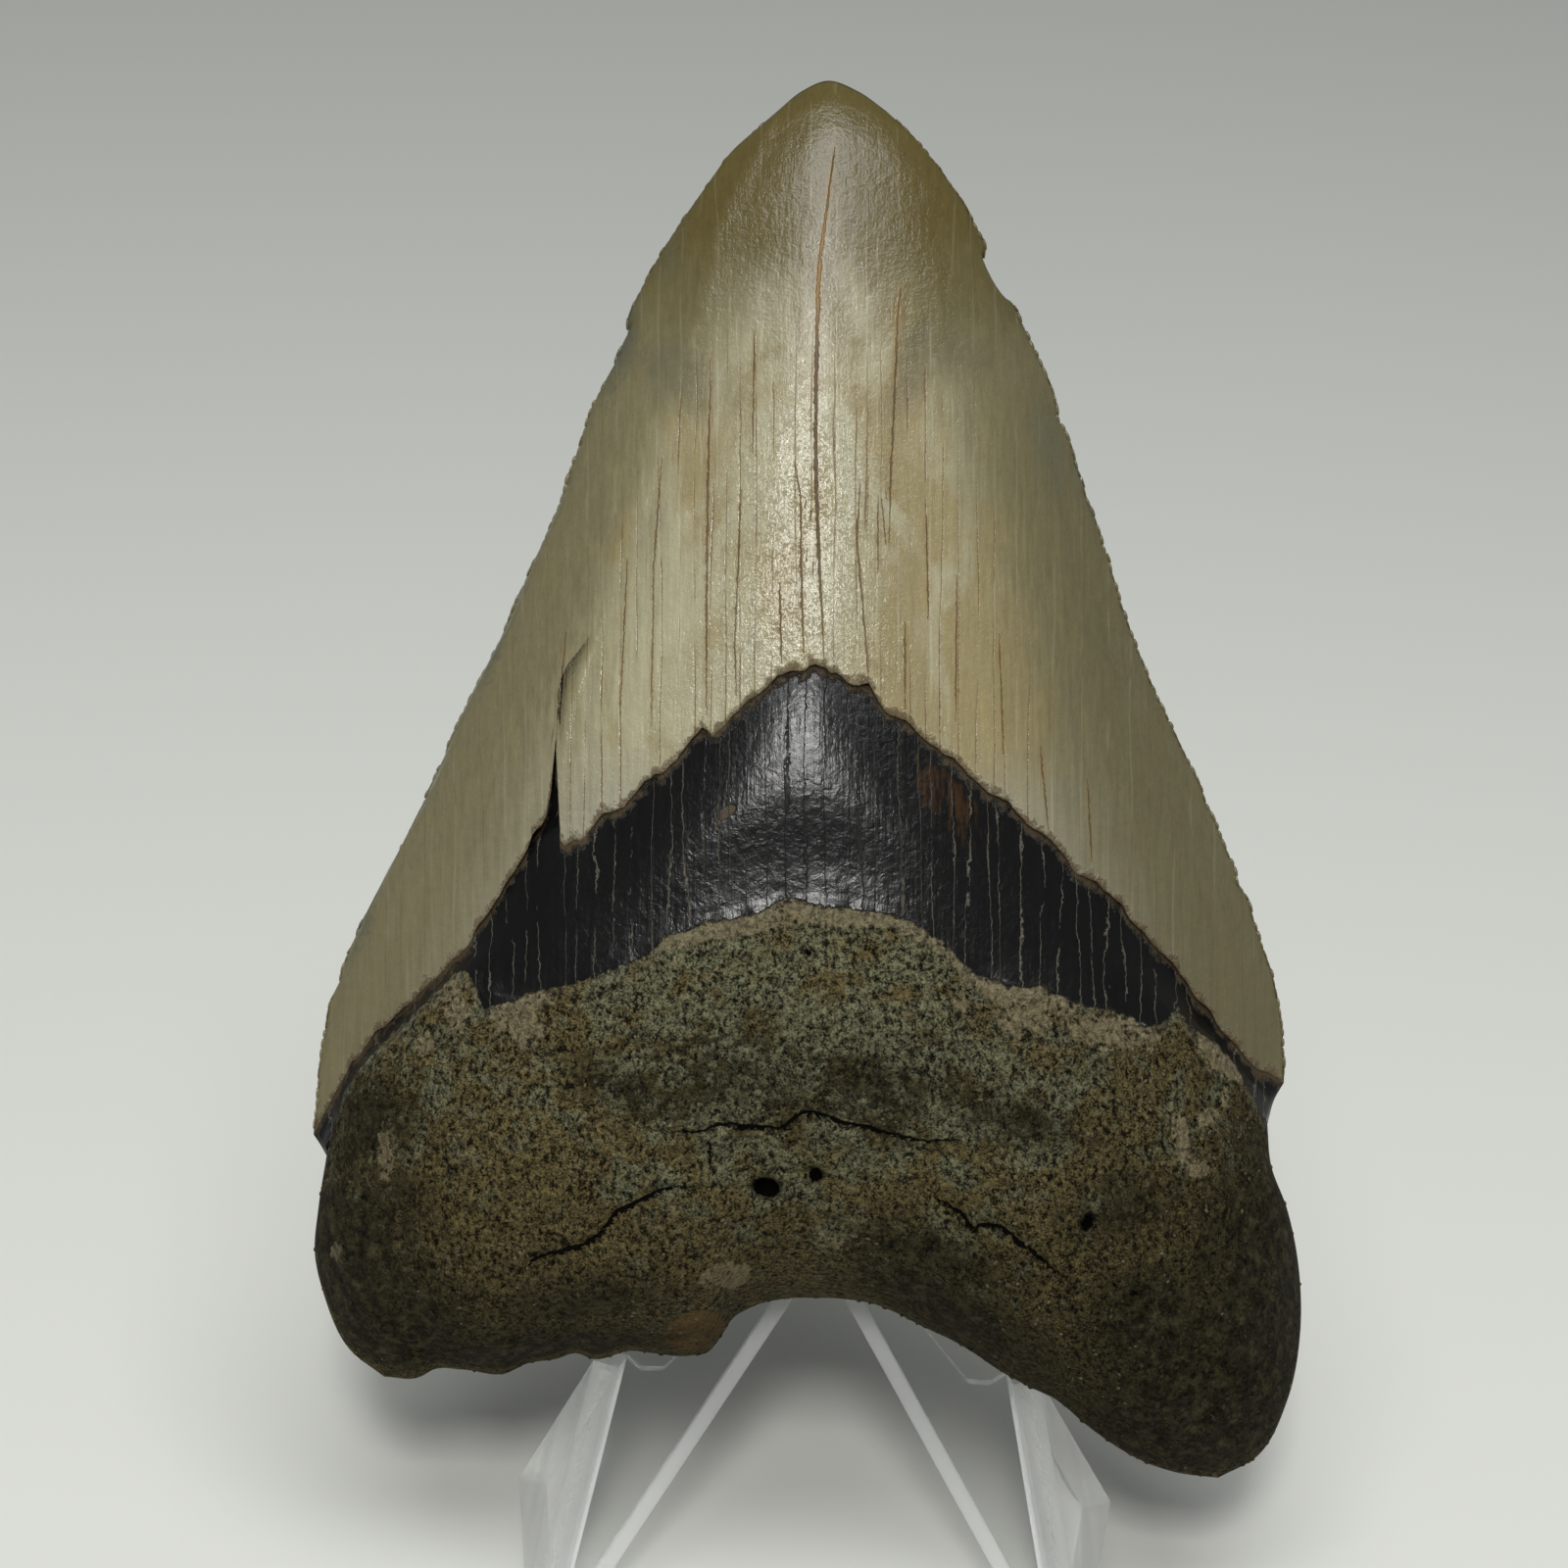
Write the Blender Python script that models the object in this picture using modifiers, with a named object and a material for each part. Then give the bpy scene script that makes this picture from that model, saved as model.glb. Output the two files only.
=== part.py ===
"""Megalodon tooth leaning on a folded easel stand of clear sheet.

Sizes are in millimetres, and become metres where a point is placed in the scene. The tooth and the
front sheet of the stand are described in the plane that leans back with them: x to the right, d up
the slope from the table, and f out to the front from the middle of the stand's front sheet.
"""

import math

import bmesh
import bpy
import numpy as np
from mathutils import Matrix, Vector, noise
from mathutils.bvhtree import BVHTree

MM = 0.001
LEAN = math.radians(30)  # the tooth and the front sheet lean back this far from upright
TOOTH_ROLL = math.radians(2.4)  # the tooth's tip leans this far to the left of the stand's middle
CENTRE_X = -1.14  # middle of the whole object's footprint, moved to the origin
CENTRE_Y = 28.1

# The tooth's outline is as it looks from straight in front, from EYE_DISTANCE away at EYE.
EYE = (-1.9, 73.0)
EYE_DISTANCE = 300.0
EDGE_F = 9.0  # depth of the cutting edges' plane

# Tooth outline, tip to root, as points (x, d)
TIP = [(-2.6, 130.1), (-0.4, 131.9), (1.8, 132.8), (4.4, 131.9), (6.7, 130.3)]
LEFT_CROWN = [
    (-2.6, 130.1), (-9.2, 123.2), (-15.0, 113.8), (-20.9, 98.0), (-26.8, 84.3),
    (-32.9, 71.3), (-37.6, 62.3), (-39.9, 57.0), (-41.6, 50.0), (-41.9, 43.2),
]
RIGHT_CROWN = [
    (6.7, 130.3), (12.6, 124.1), (15.9, 117.6), (19.4, 110.8), (24.6, 96.3), (27.6, 86.8),
    (31.2, 78.5), (34.7, 70.5), (37.9, 62.8), (40.0, 56.3), (40.8, 50.5), (40.6, 47.6),
]
LEFT_NECK = [(-41.9, 43.2), (-41.3, 42.3), (-40.8, 41.4)]
RIGHT_NECK = [(40.6, 47.6), (39.8, 46.2), (39.2, 44.1)]
LEFT_ROOT = [(-40.8, 41.4), (-41.5, 36.9), (-41.8, 33.1), (-41.0, 29.5), (-38.9, 25.0), (-35.9, 22.6)]
RIGHT_ROOT = [
    (39.2, 44.1), (39.5, 40.7), (40.9, 36.8), (41.9, 31.6), (42.0, 26.4), (40.9, 20.6),
    (38.4, 15.9), (35.0, 14.0),
]

# Borders that cross the front of the tooth from left to right, as points (x, d)
ENAMEL_BORDER = [
    (-41.9, 43.2), (-38.7, 49.3), (-34.7, 53.6), (-27.3, 61.8), (-23.0, 67.4), (-17.4, 70.2),
    (-10.2, 76.2), (-2.1, 82.3), (0.8, 82.9), (3.7, 81.5), (10.7, 76.3), (20.6, 68.6),
    (29.3, 59.7), (36.8, 50.3), (40.6, 47.6),
]
ROOT_BORDER = [
    (-40.8, 41.4), (-38.6, 46.8), (-34.0, 51.6), (-28.4, 55.3), (-24.9, 54.7), (-16.0, 57.4),
    (-8.5, 61.2), (-1.0, 63.0), (6.4, 62.0), (10.7, 60.3), (14.6, 56.9), (21.7, 55.0),
    (28.8, 52.6), (32.9, 52.0), (36.6, 48.2), (39.2, 44.1),
]
ROOT_BOTTOM = [
    (-35.9, 22.6), (-32.8, 22.5), (-29.2, 23.1), (-25.5, 22.9), (-21.3, 24.0), (-16.4, 24.3),
    (-9.8, 24.4), (-7.6, 25.6), (-5.8, 27.8), (-2.1, 29.2), (3.3, 29.2), (8.1, 27.8),
    (14.1, 24.7), (18.8, 21.8), (23.8, 18.5), (28.2, 15.6), (31.3, 14.5), (35.0, 14.0),
]
# The same borders on the back, where the enamel comes lower and there is no dark band
BACK_ENAMEL_BORDER = [
    (-41.9, 43.2), (-30.0, 50.5), (-14.0, 57.5), (0.0, 59.5), (14.0, 57.5), (29.0, 52.0),
    (40.6, 47.6),
]
BACK_ROOT_BORDER = [
    (-40.8, 41.4), (-30.0, 47.8), (-14.0, 54.5), (0.0, 56.5), (14.0, 54.5), (29.0, 49.2),
    (39.2, 44.1),
]

# Depth of the tooth's middle, ahead of and behind the plane of the cutting edges, at levels that run
# from 0 at the tip over 1 at the enamel's border and 2 at the root's border to 3 at the lower rim
FRONT_LEVELS = [0, 0.12, 0.35, 0.7, 1, 1.5, 1.95, 2.25, 2.5, 3]
FRONT_DEPTHS = [0, 2.3, 5.2, 8.6, 10.6, 12.3, 12.9, 15.2, 16.4, 16.4]
BACK_LEVELS = [0, 0.25, 1, 2, 2.4, 3]
BACK_DEPTHS = [0, -2.2, -4.6, -5.8, -7.3, -7.3]
# Roundness of the cross-section, as power and fullness: of the crown, what the root adds to it, and
# of the lower rim
FRONT_CROWN, FRONT_ROOT, FRONT_RIM = (2.0, 1.0), (1.2, -0.42), (3.4, 0.58)
BACK_CROWN, BACK_ROOT, BACK_RIM = (2.0, 1.0), (3.0, -0.45), (6.0, 0.6)
ROOT_BLEND = 1.2  # levels below the enamel over which the crown's section turns into the root's
RIM_BLEND = 1.6  # level from which the outline moves behind the cutting edges' plane
LEDGE = 0.45  # the enamel stands this high above the band and the root
RIM_AT = [0.0, 0.3, 0.5, 0.72, 1.0]  # shares of the root's width
RIM_SETBACK = [4.2, 7.1, 6.2, 3.2, 4.0]  # how far the lower rim lies behind the cutting edges there
ROOT_RELIEF = 0.55  # height of the root's soft lumps and hollows
BACK_RELIEF = 0.16
RELIEF_SIZE = 9.0

CROWN_ROWS = 24
BAND_ROWS = 6
ROOT_ROWS = 17
COLUMNS = 40

# Holes of the blood vessels in the root, and chips of the cutting edges, as (x, d, radius)
FORAMINA = [(-3.4, 38.7, 1.0), (0.8, 39.8, 0.6), (23.9, 35.8, 0.6)]
FORAMEN_DEPTH = 3.0
CHIPS = [(17.6, 117.1, 1.9), (-37.4, 65.9, 1.9)]

# The stand's sheet, cut flat and then folded: right half, as points (x, d) of the front sheet
SHEET = 2.4
SHEET_EDGE = 0.7  # rounding of the sheet's cut edges
CROTCH = (0.0, 31.8)  # where the inner edges of the two front legs meet
LEG_FOOT = (21.3, -3.4)
FLAP_FOOT = (22.3, -3.4)
FLAP_CORNER = (39.2, 18.3)
FLAP_TOP = (16.6, 22.2)  # upper end of the flap's fold
NOTCH = [(15.3, 21.2), (13.3, 21.3)]
MAST_START = (7.0, 28.4)
FOLD_FOOT = (21.2, 0.0)  # where the flap's fold meets the table
FLAP_ANGLE = math.radians(80)
FLAP_RADIUS = 1.6
MAST_HALF_WIDTH = 7.0
RIDGE = 60.0  # the mast folds down to the rear leg from here
RIDGE_RADIUS = 3.0
REAR_FOOT_HALF_WIDTH = 8.5
REAR_FOOT_EXTRA = 4.0  # cut away by the table
BEND_STEPS = 5


def clear_scene():
    for obj in list(bpy.data.objects):
        bpy.data.objects.remove(obj, do_unlink=True)


def new_collection(name):
    collection = bpy.data.collections.new(name)
    bpy.context.scene.collection.children.link(collection)
    return collection


def principled(name, colour, roughness, **sockets):
    material = bpy.data.materials.new(name)
    material.use_nodes = True
    shader = material.node_tree.nodes["Principled BSDF"]
    shader.inputs["Base Color"].default_value = (*colour, 1.0)
    shader.inputs["Roughness"].default_value = roughness
    for socket, value in sockets.items():
        shader.inputs[socket.replace("_", " ")].default_value = value
    material.diffuse_color = (*colour, 1.0)
    return material


def new_object(name, bm, collection, material=None):
    mesh = bpy.data.meshes.new(name)
    bm.to_mesh(mesh)
    bm.free()
    if material:
        mesh.materials.append(material)
    obj = bpy.data.objects.new(name, mesh)
    collection.objects.link(obj)
    return obj


def lean(x, d, f):
    """World position of a point of the leaning plane, in metres."""
    y = d * math.sin(LEAN) - f * math.cos(LEAN)
    z = d * math.cos(LEAN) + f * math.sin(LEAN)
    return Vector((x - CENTRE_X, y - CENTRE_Y, z)) * MM


def tooth_point(x, d, f):
    """World position of a point of the tooth that looks to be at (x, d) and lies at depth f."""
    nearer = 1 - (f - EDGE_F) / EYE_DISTANCE
    x, d = EYE[0] + (x - EYE[0]) * nearer, EYE[1] + (d - EYE[1]) * nearer
    cos, sin = math.cos(TOOTH_ROLL), math.sin(TOOTH_ROLL)
    return lean(x * cos - d * sin, x * sin + d * cos, f)


def smooth(knots, values, at):
    """Reads, at `at`, a smooth curve that passes through the values at the knots."""
    knots, values = np.asarray(knots, float), np.asarray(values, float)
    slopes = np.gradient(values, knots)
    i = int(np.clip(np.searchsorted(knots, at) - 1, 0, len(knots) - 2))
    step = knots[i + 1] - knots[i]
    t = (at - knots[i]) / step
    start = (1 + 2 * t) * (1 - t) ** 2 * values[i] + t * (1 - t) ** 2 * step * slopes[i]
    end = t * t * (3 - 2 * t) * values[i + 1] + t * t * (t - 1) * step * slopes[i + 1]
    return start + end


def along(points, share):
    """The point at this share of the length of a smooth outline."""
    points = np.asarray(points, float)
    lengths = np.linalg.norm(np.diff(points, axis=0), axis=1)
    knots = np.concatenate([[0.0], np.cumsum(lengths)])
    at = share * knots[-1]
    return np.array([smooth(knots, points[:, 0], at), smooth(knots, points[:, 1], at)])


def across(points, share):
    """The point of a border at this share of its width, from left to right."""
    points = np.asarray(points, float)
    x = points[0, 0] + share * (points[-1, 0] - points[0, 0])
    return np.array([x, smooth(points[:, 0], points[:, 1], x)])


def ease(t):
    t = min(max(t, 0.0), 1.0)
    return t * t * (3 - 2 * t)


def patch(upper, lower, left, right, u, t):
    """A point between two borders, kept to the outline at both ends."""
    top, bottom = upper(u), lower(u)
    point = top + (bottom - top) * t
    for side, end, weight in ((left, 0.0, 1 - u), (right, 1.0, u)):
        straight = upper(end) + (lower(end) - upper(end)) * t
        point = point + weight * (along(side, t) - straight)
    return point


def tooth_outline_point(u, level, is_back):
    """Where the tooth's grid looks to lie from the front. Level 0 is the tip, 1 the enamel's border,
    2 the root's border and 3 the root's lower rim; u runs from 0 at the left to 1 at the right."""
    enamel = BACK_ENAMEL_BORDER if is_back else ENAMEL_BORDER
    root = BACK_ROOT_BORDER if is_back else ROOT_BORDER
    zones = [
        (lambda s: along(TIP, s), lambda s: across(enamel, s), LEFT_CROWN, RIGHT_CROWN),
        (lambda s: across(enamel, s), lambda s: across(root, s), LEFT_NECK, RIGHT_NECK),
        (lambda s: across(root, s), lambda s: across(ROOT_BOTTOM, s), LEFT_ROOT, RIGHT_ROOT),
    ]
    zone = min(int(level), 2)
    return patch(*zones[zone], u, level - zone)


def tooth_depth(u, level, is_back):
    """Depth of the front or the back at a point of the tooth's grid, from the cutting edges' plane."""
    if is_back:
        crown, root, lower_rim, ledge = BACK_CROWN, BACK_ROOT, BACK_RIM, -LEDGE
        middle = np.interp(level, BACK_LEVELS, BACK_DEPTHS)
    else:
        crown, root, lower_rim, ledge = FRONT_CROWN, FRONT_ROOT, FRONT_RIM, LEDGE
        middle = np.interp(level, FRONT_LEVELS, FRONT_DEPTHS)
    side = abs(2 * u - 1)
    in_root = ease((level - 1) / ROOT_BLEND)
    rim = -ease(level - RIM_BLEND) * smooth(RIM_AT, RIM_SETBACK, u)
    down = max(level - 2, 0.0)
    profile = (1 - side ** (crown[0] + root[0] * in_root)) ** (crown[1] + root[1] * in_root)
    profile *= (1 - down ** lower_rim[0]) ** lower_rim[1]
    depth = rim * (1 - profile) + middle * profile
    if level <= 1:
        depth += ledge * min(1.0, 6 * (1 - side)) * min(1.0, 4 * level)
    return depth


def grid_levels():
    """Levels of the grid's rows. A close pair at the enamel's border makes its ledge."""
    crown = np.linspace(0, 1, CROWN_ROWS + 1) ** 0.9
    band = 1 + np.concatenate([[0.04], np.linspace(0.2, 1, BAND_ROWS - 1)])
    root = 2 + np.sin(np.linspace(0, math.pi / 2, ROOT_ROWS + 1)[1:])
    return np.concatenate([crown, band, root])


def shape_grid(bm, is_back):
    """Adds a flat grid and moves its points to the front or the back of the tooth."""
    levels = grid_levels()
    rows = len(levels) - 1
    made = bmesh.ops.create_grid(bm, x_segments=COLUMNS, y_segments=rows, size=0.5)
    for vert in made["verts"]:
        evenly = vert.co.x + 0.5
        u = 0.45 * evenly + 0.55 * (0.5 - 0.5 * math.cos(math.pi * evenly))
        level = float(levels[round((0.5 - vert.co.y) * rows)])
        x, d = tooth_outline_point(u, level, is_back)
        depth = tooth_depth(u, level, is_back)
        lumps = noise.fractal(Vector((x, d, 40.0 * is_back)) / RELIEF_SIZE, 1.0, 2.0, 3)
        inside = (1 - abs(2 * u - 1) ** 6) * (1 - max(level - 2, 0.0) ** 8)
        relief = BACK_RELIEF if is_back else ROOT_RELIEF
        depth += relief * lumps * ease(level - RIM_BLEND) * inside
        vert.co = tooth_point(x, d, EDGE_F + depth)
    if is_back:
        faces = {face for vert in made["verts"] for face in vert.link_faces}
        bmesh.ops.reverse_faces(bm, faces=list(faces))


def build_tooth(collection, cutters, material):
    """Crown, dark band and root, grown as one body."""
    bm = bmesh.new()
    shape_grid(bm, False)
    front = BVHTree.FromBMesh(bm)
    shape_grid(bm, True)
    bmesh.ops.remove_doubles(bm, verts=bm.verts, dist=0.00001)
    bmesh.ops.recalc_face_normals(bm, faces=bm.faces)
    tooth = new_object("tooth", bm, collection, material)
    forward = (lean(0, 0, 1) - lean(0, 0, 0)).normalized()
    for number, (x, d, radius) in enumerate(FORAMINA, 1):
        start = tooth_point(x, d, EDGE_F + 2 * max(FRONT_DEPTHS))
        mouth = front.ray_cast(start, -forward)[0]
        cutter = cut_with(tooth, f"foramen_{number}", cutters)
        bm = bmesh.new()
        turn = forward.to_track_quat("Z", "Y").to_matrix().to_4x4()
        bmesh.ops.create_cone(
            bm, cap_ends=True, segments=12, radius1=0.6 * radius * MM, radius2=radius * MM,
            depth=2 * FORAMEN_DEPTH * MM, matrix=Matrix.Translation(mouth) @ turn,
        )
        bm.to_mesh(cutter.data)
        bm.free()
    for number, (x, d, radius) in enumerate(CHIPS, 1):
        cutter = cut_with(tooth, f"chip_{number}", cutters)
        bm = bmesh.new()
        centre = Matrix.Translation(tooth_point(x, d, EDGE_F))
        bmesh.ops.create_icosphere(bm, subdivisions=2, radius=radius * MM, matrix=centre)
        bm.to_mesh(cutter.data)
        bm.free()
    tooth.data.shade_smooth()
    return tooth


def cut_with(obj, name, cutters):
    """An empty cutter, with the Boolean that takes it from the object."""
    cutter = bpy.data.objects.new(name, bpy.data.meshes.new(name))
    cutters.objects.link(cutter)
    cutter.hide_render = True
    cutter.display_type = "WIRE"
    modifier = obj.modifiers.new(name, "BOOLEAN")
    modifier.operation = "DIFFERENCE"
    modifier.solver = "EXACT"
    modifier.object = cutter
    return cutter


def fold(bm, start, direction, angle, radius):
    """Bends what lies to the left of a line of the flat sheet, seen along its direction, round an arc.
    A positive angle bends it to the front."""
    along_line = Vector((*direction, 0.0)).normalized()
    outward = Vector((-along_line.y, along_line.x, 0.0))
    start = Vector((*start, 0.0))
    up = Vector((0.0, 0.0, math.copysign(1.0, angle)))
    angle = abs(angle)
    for step in range(BEND_STEPS + 1):
        cut = start + outward * radius * angle * step / BEND_STEPS
        flat = [face for face in bm.faces if all(abs(vert.co.z) < 0.001 for vert in face.verts)]
        geometry = {item for face in flat for item in (face, *face.edges, *face.verts)}
        bmesh.ops.bisect_plane(bm, geom=list(geometry), plane_co=cut, plane_no=outward, dist=0.0001)
    for vert in bm.verts:
        past = (vert.co - start).dot(outward)
        if past <= 0.001 or abs(vert.co.z) > 0.001:
            continue
        turned = min(past / radius, angle)
        beyond = past - turned * radius
        on_line = vert.co - outward * past
        flat = radius * math.sin(turned) + beyond * math.cos(turned)
        rise = radius * (1 - math.cos(turned)) + beyond * math.sin(turned)
        vert.co = on_line + outward * flat + up * rise


def stand_blank():
    """The sheet as it is cut, before it is folded: one flat face."""
    length_to_table = RIDGE + RIDGE_RADIUS * 2 * math.pi / 3 + RIDGE + REAR_FOOT_EXTRA
    half = [
        CROTCH, LEG_FOOT, FLAP_FOOT, FLAP_CORNER, FLAP_TOP, *NOTCH, MAST_START,
        (MAST_HALF_WIDTH, RIDGE), (REAR_FOOT_HALF_WIDTH, length_to_table),
    ]
    outline = half + [(-x, d) for x, d in reversed(half[1:])]
    bm = bmesh.new()
    verts = [bm.verts.new((x, d, 0.0)) for x, d in outline]
    edges = [bm.edges.new(pair) for pair in zip(verts, verts[1:] + verts[:1])]
    bmesh.ops.edgeloop_fill(bm, edges=edges)
    return bm


def build_stand(collection, cutters, material):
    """One sheet, folded over a ridge to the rear leg, with two flaps turned forward as arms."""
    bm = stand_blank()
    line = Vector(FLAP_TOP) - Vector(FOLD_FOOT)
    fold(bm, (0.0, RIDGE), (1.0, 0.0), -math.radians(120), RIDGE_RADIUS)
    fold(bm, FOLD_FOOT, -line, FLAP_ANGLE, FLAP_RADIUS)
    fold(bm, (-FOLD_FOOT[0], FOLD_FOOT[1]), (-line.x, line.y), FLAP_ANGLE, FLAP_RADIUS)
    for vert in bm.verts:
        vert.co = lean(*vert.co)
    bmesh.ops.recalc_face_normals(bm, faces=bm.faces)
    stand = new_object("easel_stand", bm, collection, material)
    sheet = stand.modifiers.new("sheet", "SOLIDIFY")
    sheet.thickness = SHEET * MM
    sheet.offset = 0.0
    sheet.use_even_offset = True
    edges = stand.modifiers.new("polished_edges", "BEVEL")
    edges.width = SHEET_EDGE * MM
    edges.segments = 2
    edges.limit_method = "ANGLE"
    edges.angle_limit = math.radians(50)
    table = cut_with(stand, "table_cut", cutters)
    bm = bmesh.new()
    below = Matrix.Translation((0, 0, -0.05)) @ Matrix.Diagonal((0.3, 0.3, 0.1, 1))
    bmesh.ops.create_cube(bm, size=1.0, matrix=below)
    bm.to_mesh(table.data)
    bm.free()
    return stand


def main():
    clear_scene()
    parts = new_collection("megalodon_tooth_on_stand")
    cutters = new_collection("cutters")
    fossil = principled("fossil_tooth", (0.36, 0.32, 0.21), 0.35)
    acrylic = principled(
        "clear_acrylic", (0.94, 0.96, 0.94), 0.05, Transmission_Weight=1.0, IOR=1.49
    )
    build_tooth(parts, cutters, fossil)
    build_stand(parts, cutters, acrylic)


main()
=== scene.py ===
"""Looks of a megalodon tooth that leans back on a folded easel stand of clear sheet.

Sizes are in millimetres in the leaning plane that the tooth and the stand's front sheet share, and
become metres where a point is placed in the scene.
"""

import logging
import math
from dataclasses import dataclass, field
from enum import Enum

import bmesh
import bpy
import numpy as np
from mathutils import Matrix, Vector, noise


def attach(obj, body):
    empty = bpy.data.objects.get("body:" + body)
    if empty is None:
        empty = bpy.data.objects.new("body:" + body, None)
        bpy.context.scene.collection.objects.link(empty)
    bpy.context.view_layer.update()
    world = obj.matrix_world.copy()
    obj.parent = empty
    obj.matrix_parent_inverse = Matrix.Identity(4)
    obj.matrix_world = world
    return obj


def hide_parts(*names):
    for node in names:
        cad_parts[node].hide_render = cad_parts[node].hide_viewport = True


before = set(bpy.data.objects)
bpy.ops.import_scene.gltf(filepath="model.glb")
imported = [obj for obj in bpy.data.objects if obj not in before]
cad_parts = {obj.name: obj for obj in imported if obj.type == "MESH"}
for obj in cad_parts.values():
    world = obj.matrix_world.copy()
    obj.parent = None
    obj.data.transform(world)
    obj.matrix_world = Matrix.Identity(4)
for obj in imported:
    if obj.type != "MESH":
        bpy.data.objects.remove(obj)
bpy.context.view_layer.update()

LOG = logging.getLogger("megalodon_tooth")
MM = 0.001
MERGE = 0.002 * MM
Point = tuple[float, float]
Triple = tuple[float, float, float]
Colour = Triple


def paint(red: float, green: float, blue: float) -> Colour:
    """Turns a screen colour into the renderer's own values.

    Args:
        red: Red, 0 to 255.
        green: Green, 0 to 255.
        blue: Blue, 0 to 255.

    Returns:
        The linear colour.
    """
    def linear(level: float) -> float:
        """One channel, without the screen's curve."""
        share = level / 255
        return share / 12.92 if share <= 0.04045 else ((share + 0.055) / 1.055) ** 2.4

    return (linear(red), linear(green), linear(blue))


def ease(t: np.ndarray) -> np.ndarray:
    """Rises smoothly from 0 to 1 while t does."""
    t = np.clip(t, 0.0, 1.0)
    return t * t * (3 - 2 * t)


def smooth(knots: np.ndarray, values: np.ndarray, at: np.ndarray) -> np.ndarray:
    """Reads a smooth curve that passes through the values at the knots.

    Args:
        knots: Rising places of the values.
        values: The curve's values there.
        at: Places to read.

    Returns:
        The curve's value at each place.
    """
    knots, values = np.asarray(knots, float), np.asarray(values, float)
    slopes = np.gradient(values, knots)
    i = np.clip(np.searchsorted(knots, at) - 1, 0, len(knots) - 2)
    step = knots[i + 1] - knots[i]
    t = (at - knots[i]) / step
    start = (1 + 2 * t) * (1 - t) ** 2 * values[i] + t * (1 - t) ** 2 * step * slopes[i]
    return start + t * t * (3 - 2 * t) * values[i + 1] + t * t * (t - 1) * step * slopes[i + 1]


def lumps(places: np.ndarray, size: float, octaves: int = 3) -> np.ndarray:
    """Soft noise of about -1 to 1 at each place.

    Args:
        places: Rows of three coordinates in millimetres.
        size: Size of the largest lumps.
        octaves: How many finer layers are added.

    Returns:
        One value a row.
    """
    flat = places.reshape(-1, 3) / size
    found = [noise.fractal(Vector(row), 1.0, 2.0, octaves) for row in flat]
    return np.array(found).reshape(places.shape[:-1])


@dataclass(frozen=True)
class LeaningPlane:
    """The plane that leans back with the tooth and the stand's front sheet.

    A point of it is x to the right, d up the slope from the table, and f out to the front from the
    middle of the stand's front sheet.
    """

    lean: float = math.radians(30)
    roll: float = math.radians(2.4)
    centre: Point = (-1.14, 28.1)
    eye: Point = (-1.9, 73.0)
    eye_distance: float = 300.0
    edge_f: float = 9.0
    sensor: float = 36.0
    view_width: float = 133.33

    def world(self, points: np.ndarray) -> np.ndarray:
        """Places points of the plane in the scene.

        Args:
            points: Rows of x, d and f in millimetres.

        Returns:
            Rows of world coordinates in metres.
        """
        x, d, f = np.moveaxis(np.asarray(points, float), -1, 0)
        y = d * math.sin(self.lean) - f * math.cos(self.lean)
        z = d * math.cos(self.lean) + f * math.sin(self.lean)
        return np.stack([x - self.centre[0], y - self.centre[1], z], axis=-1) * MM

    def tooth(self, seen: np.ndarray) -> np.ndarray:
        """Places points of the tooth that are given as they look from straight in front.

        Args:
            seen: Rows of x, d and the depth before the cutting edges' plane.

        Returns:
            Rows of world coordinates in metres.
        """
        x, d, f = np.moveaxis(np.asarray(seen, float), -1, 0)
        nearer = 1 - f / self.eye_distance
        x = self.eye[0] + (x - self.eye[0]) * nearer
        d = self.eye[1] + (d - self.eye[1]) * nearer
        cos, sin = math.cos(self.roll), math.sin(self.roll)
        return self.world(np.stack([x * cos - d * sin, x * sin + d * cos, f + self.edge_f], axis=-1))

    def seen(self, places: np.ndarray) -> np.ndarray:
        """Undoes tooth().

        Args:
            places: Rows of world coordinates in metres.

        Returns:
            Rows of x, d and the depth before the cutting edges' plane.
        """
        x, y, z = np.moveaxis(np.asarray(places, float) / MM, -1, 0)
        x, y = x + self.centre[0], y + self.centre[1]
        d = y * math.sin(self.lean) + z * math.cos(self.lean)
        f = -y * math.cos(self.lean) + z * math.sin(self.lean) - self.edge_f
        cos, sin = math.cos(self.roll), math.sin(self.roll)
        x, d = x * cos + d * sin, d * cos - x * sin
        nearer = 1 - f / self.eye_distance
        x = self.eye[0] + (x - self.eye[0]) / nearer
        d = self.eye[1] + (d - self.eye[1]) / nearer
        return np.stack([x, d, f], axis=-1)

    def forward(self) -> Vector:
        """The direction straight out to the front."""
        return Vector((0.0, -math.cos(self.lean), math.sin(self.lean)))

    def camera(self) -> bpy.types.Object:
        """Sets up the camera that looks straight at the tooth's front."""
        data = bpy.data.cameras.new("front_view")
        data.sensor_width = self.sensor
        data.lens = self.sensor * self.eye_distance / self.view_width
        data.clip_start = 0.01
        camera = linked("front_view", data)
        ends = self.tooth(np.array([(*self.eye, 0.0), (self.eye[0] + 1, self.eye[1], 0.0)]))
        right = Vector(ends[1] - ends[0]).normalized()
        back = self.forward()
        up = back.cross(right)
        turn = Matrix((right, up, back)).transposed().to_4x4()
        place = Vector(ends[0]) + back * self.eye_distance * MM
        camera.matrix_world = Matrix.Translation(place) @ turn
        bpy.context.scene.camera = camera
        return camera


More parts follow.
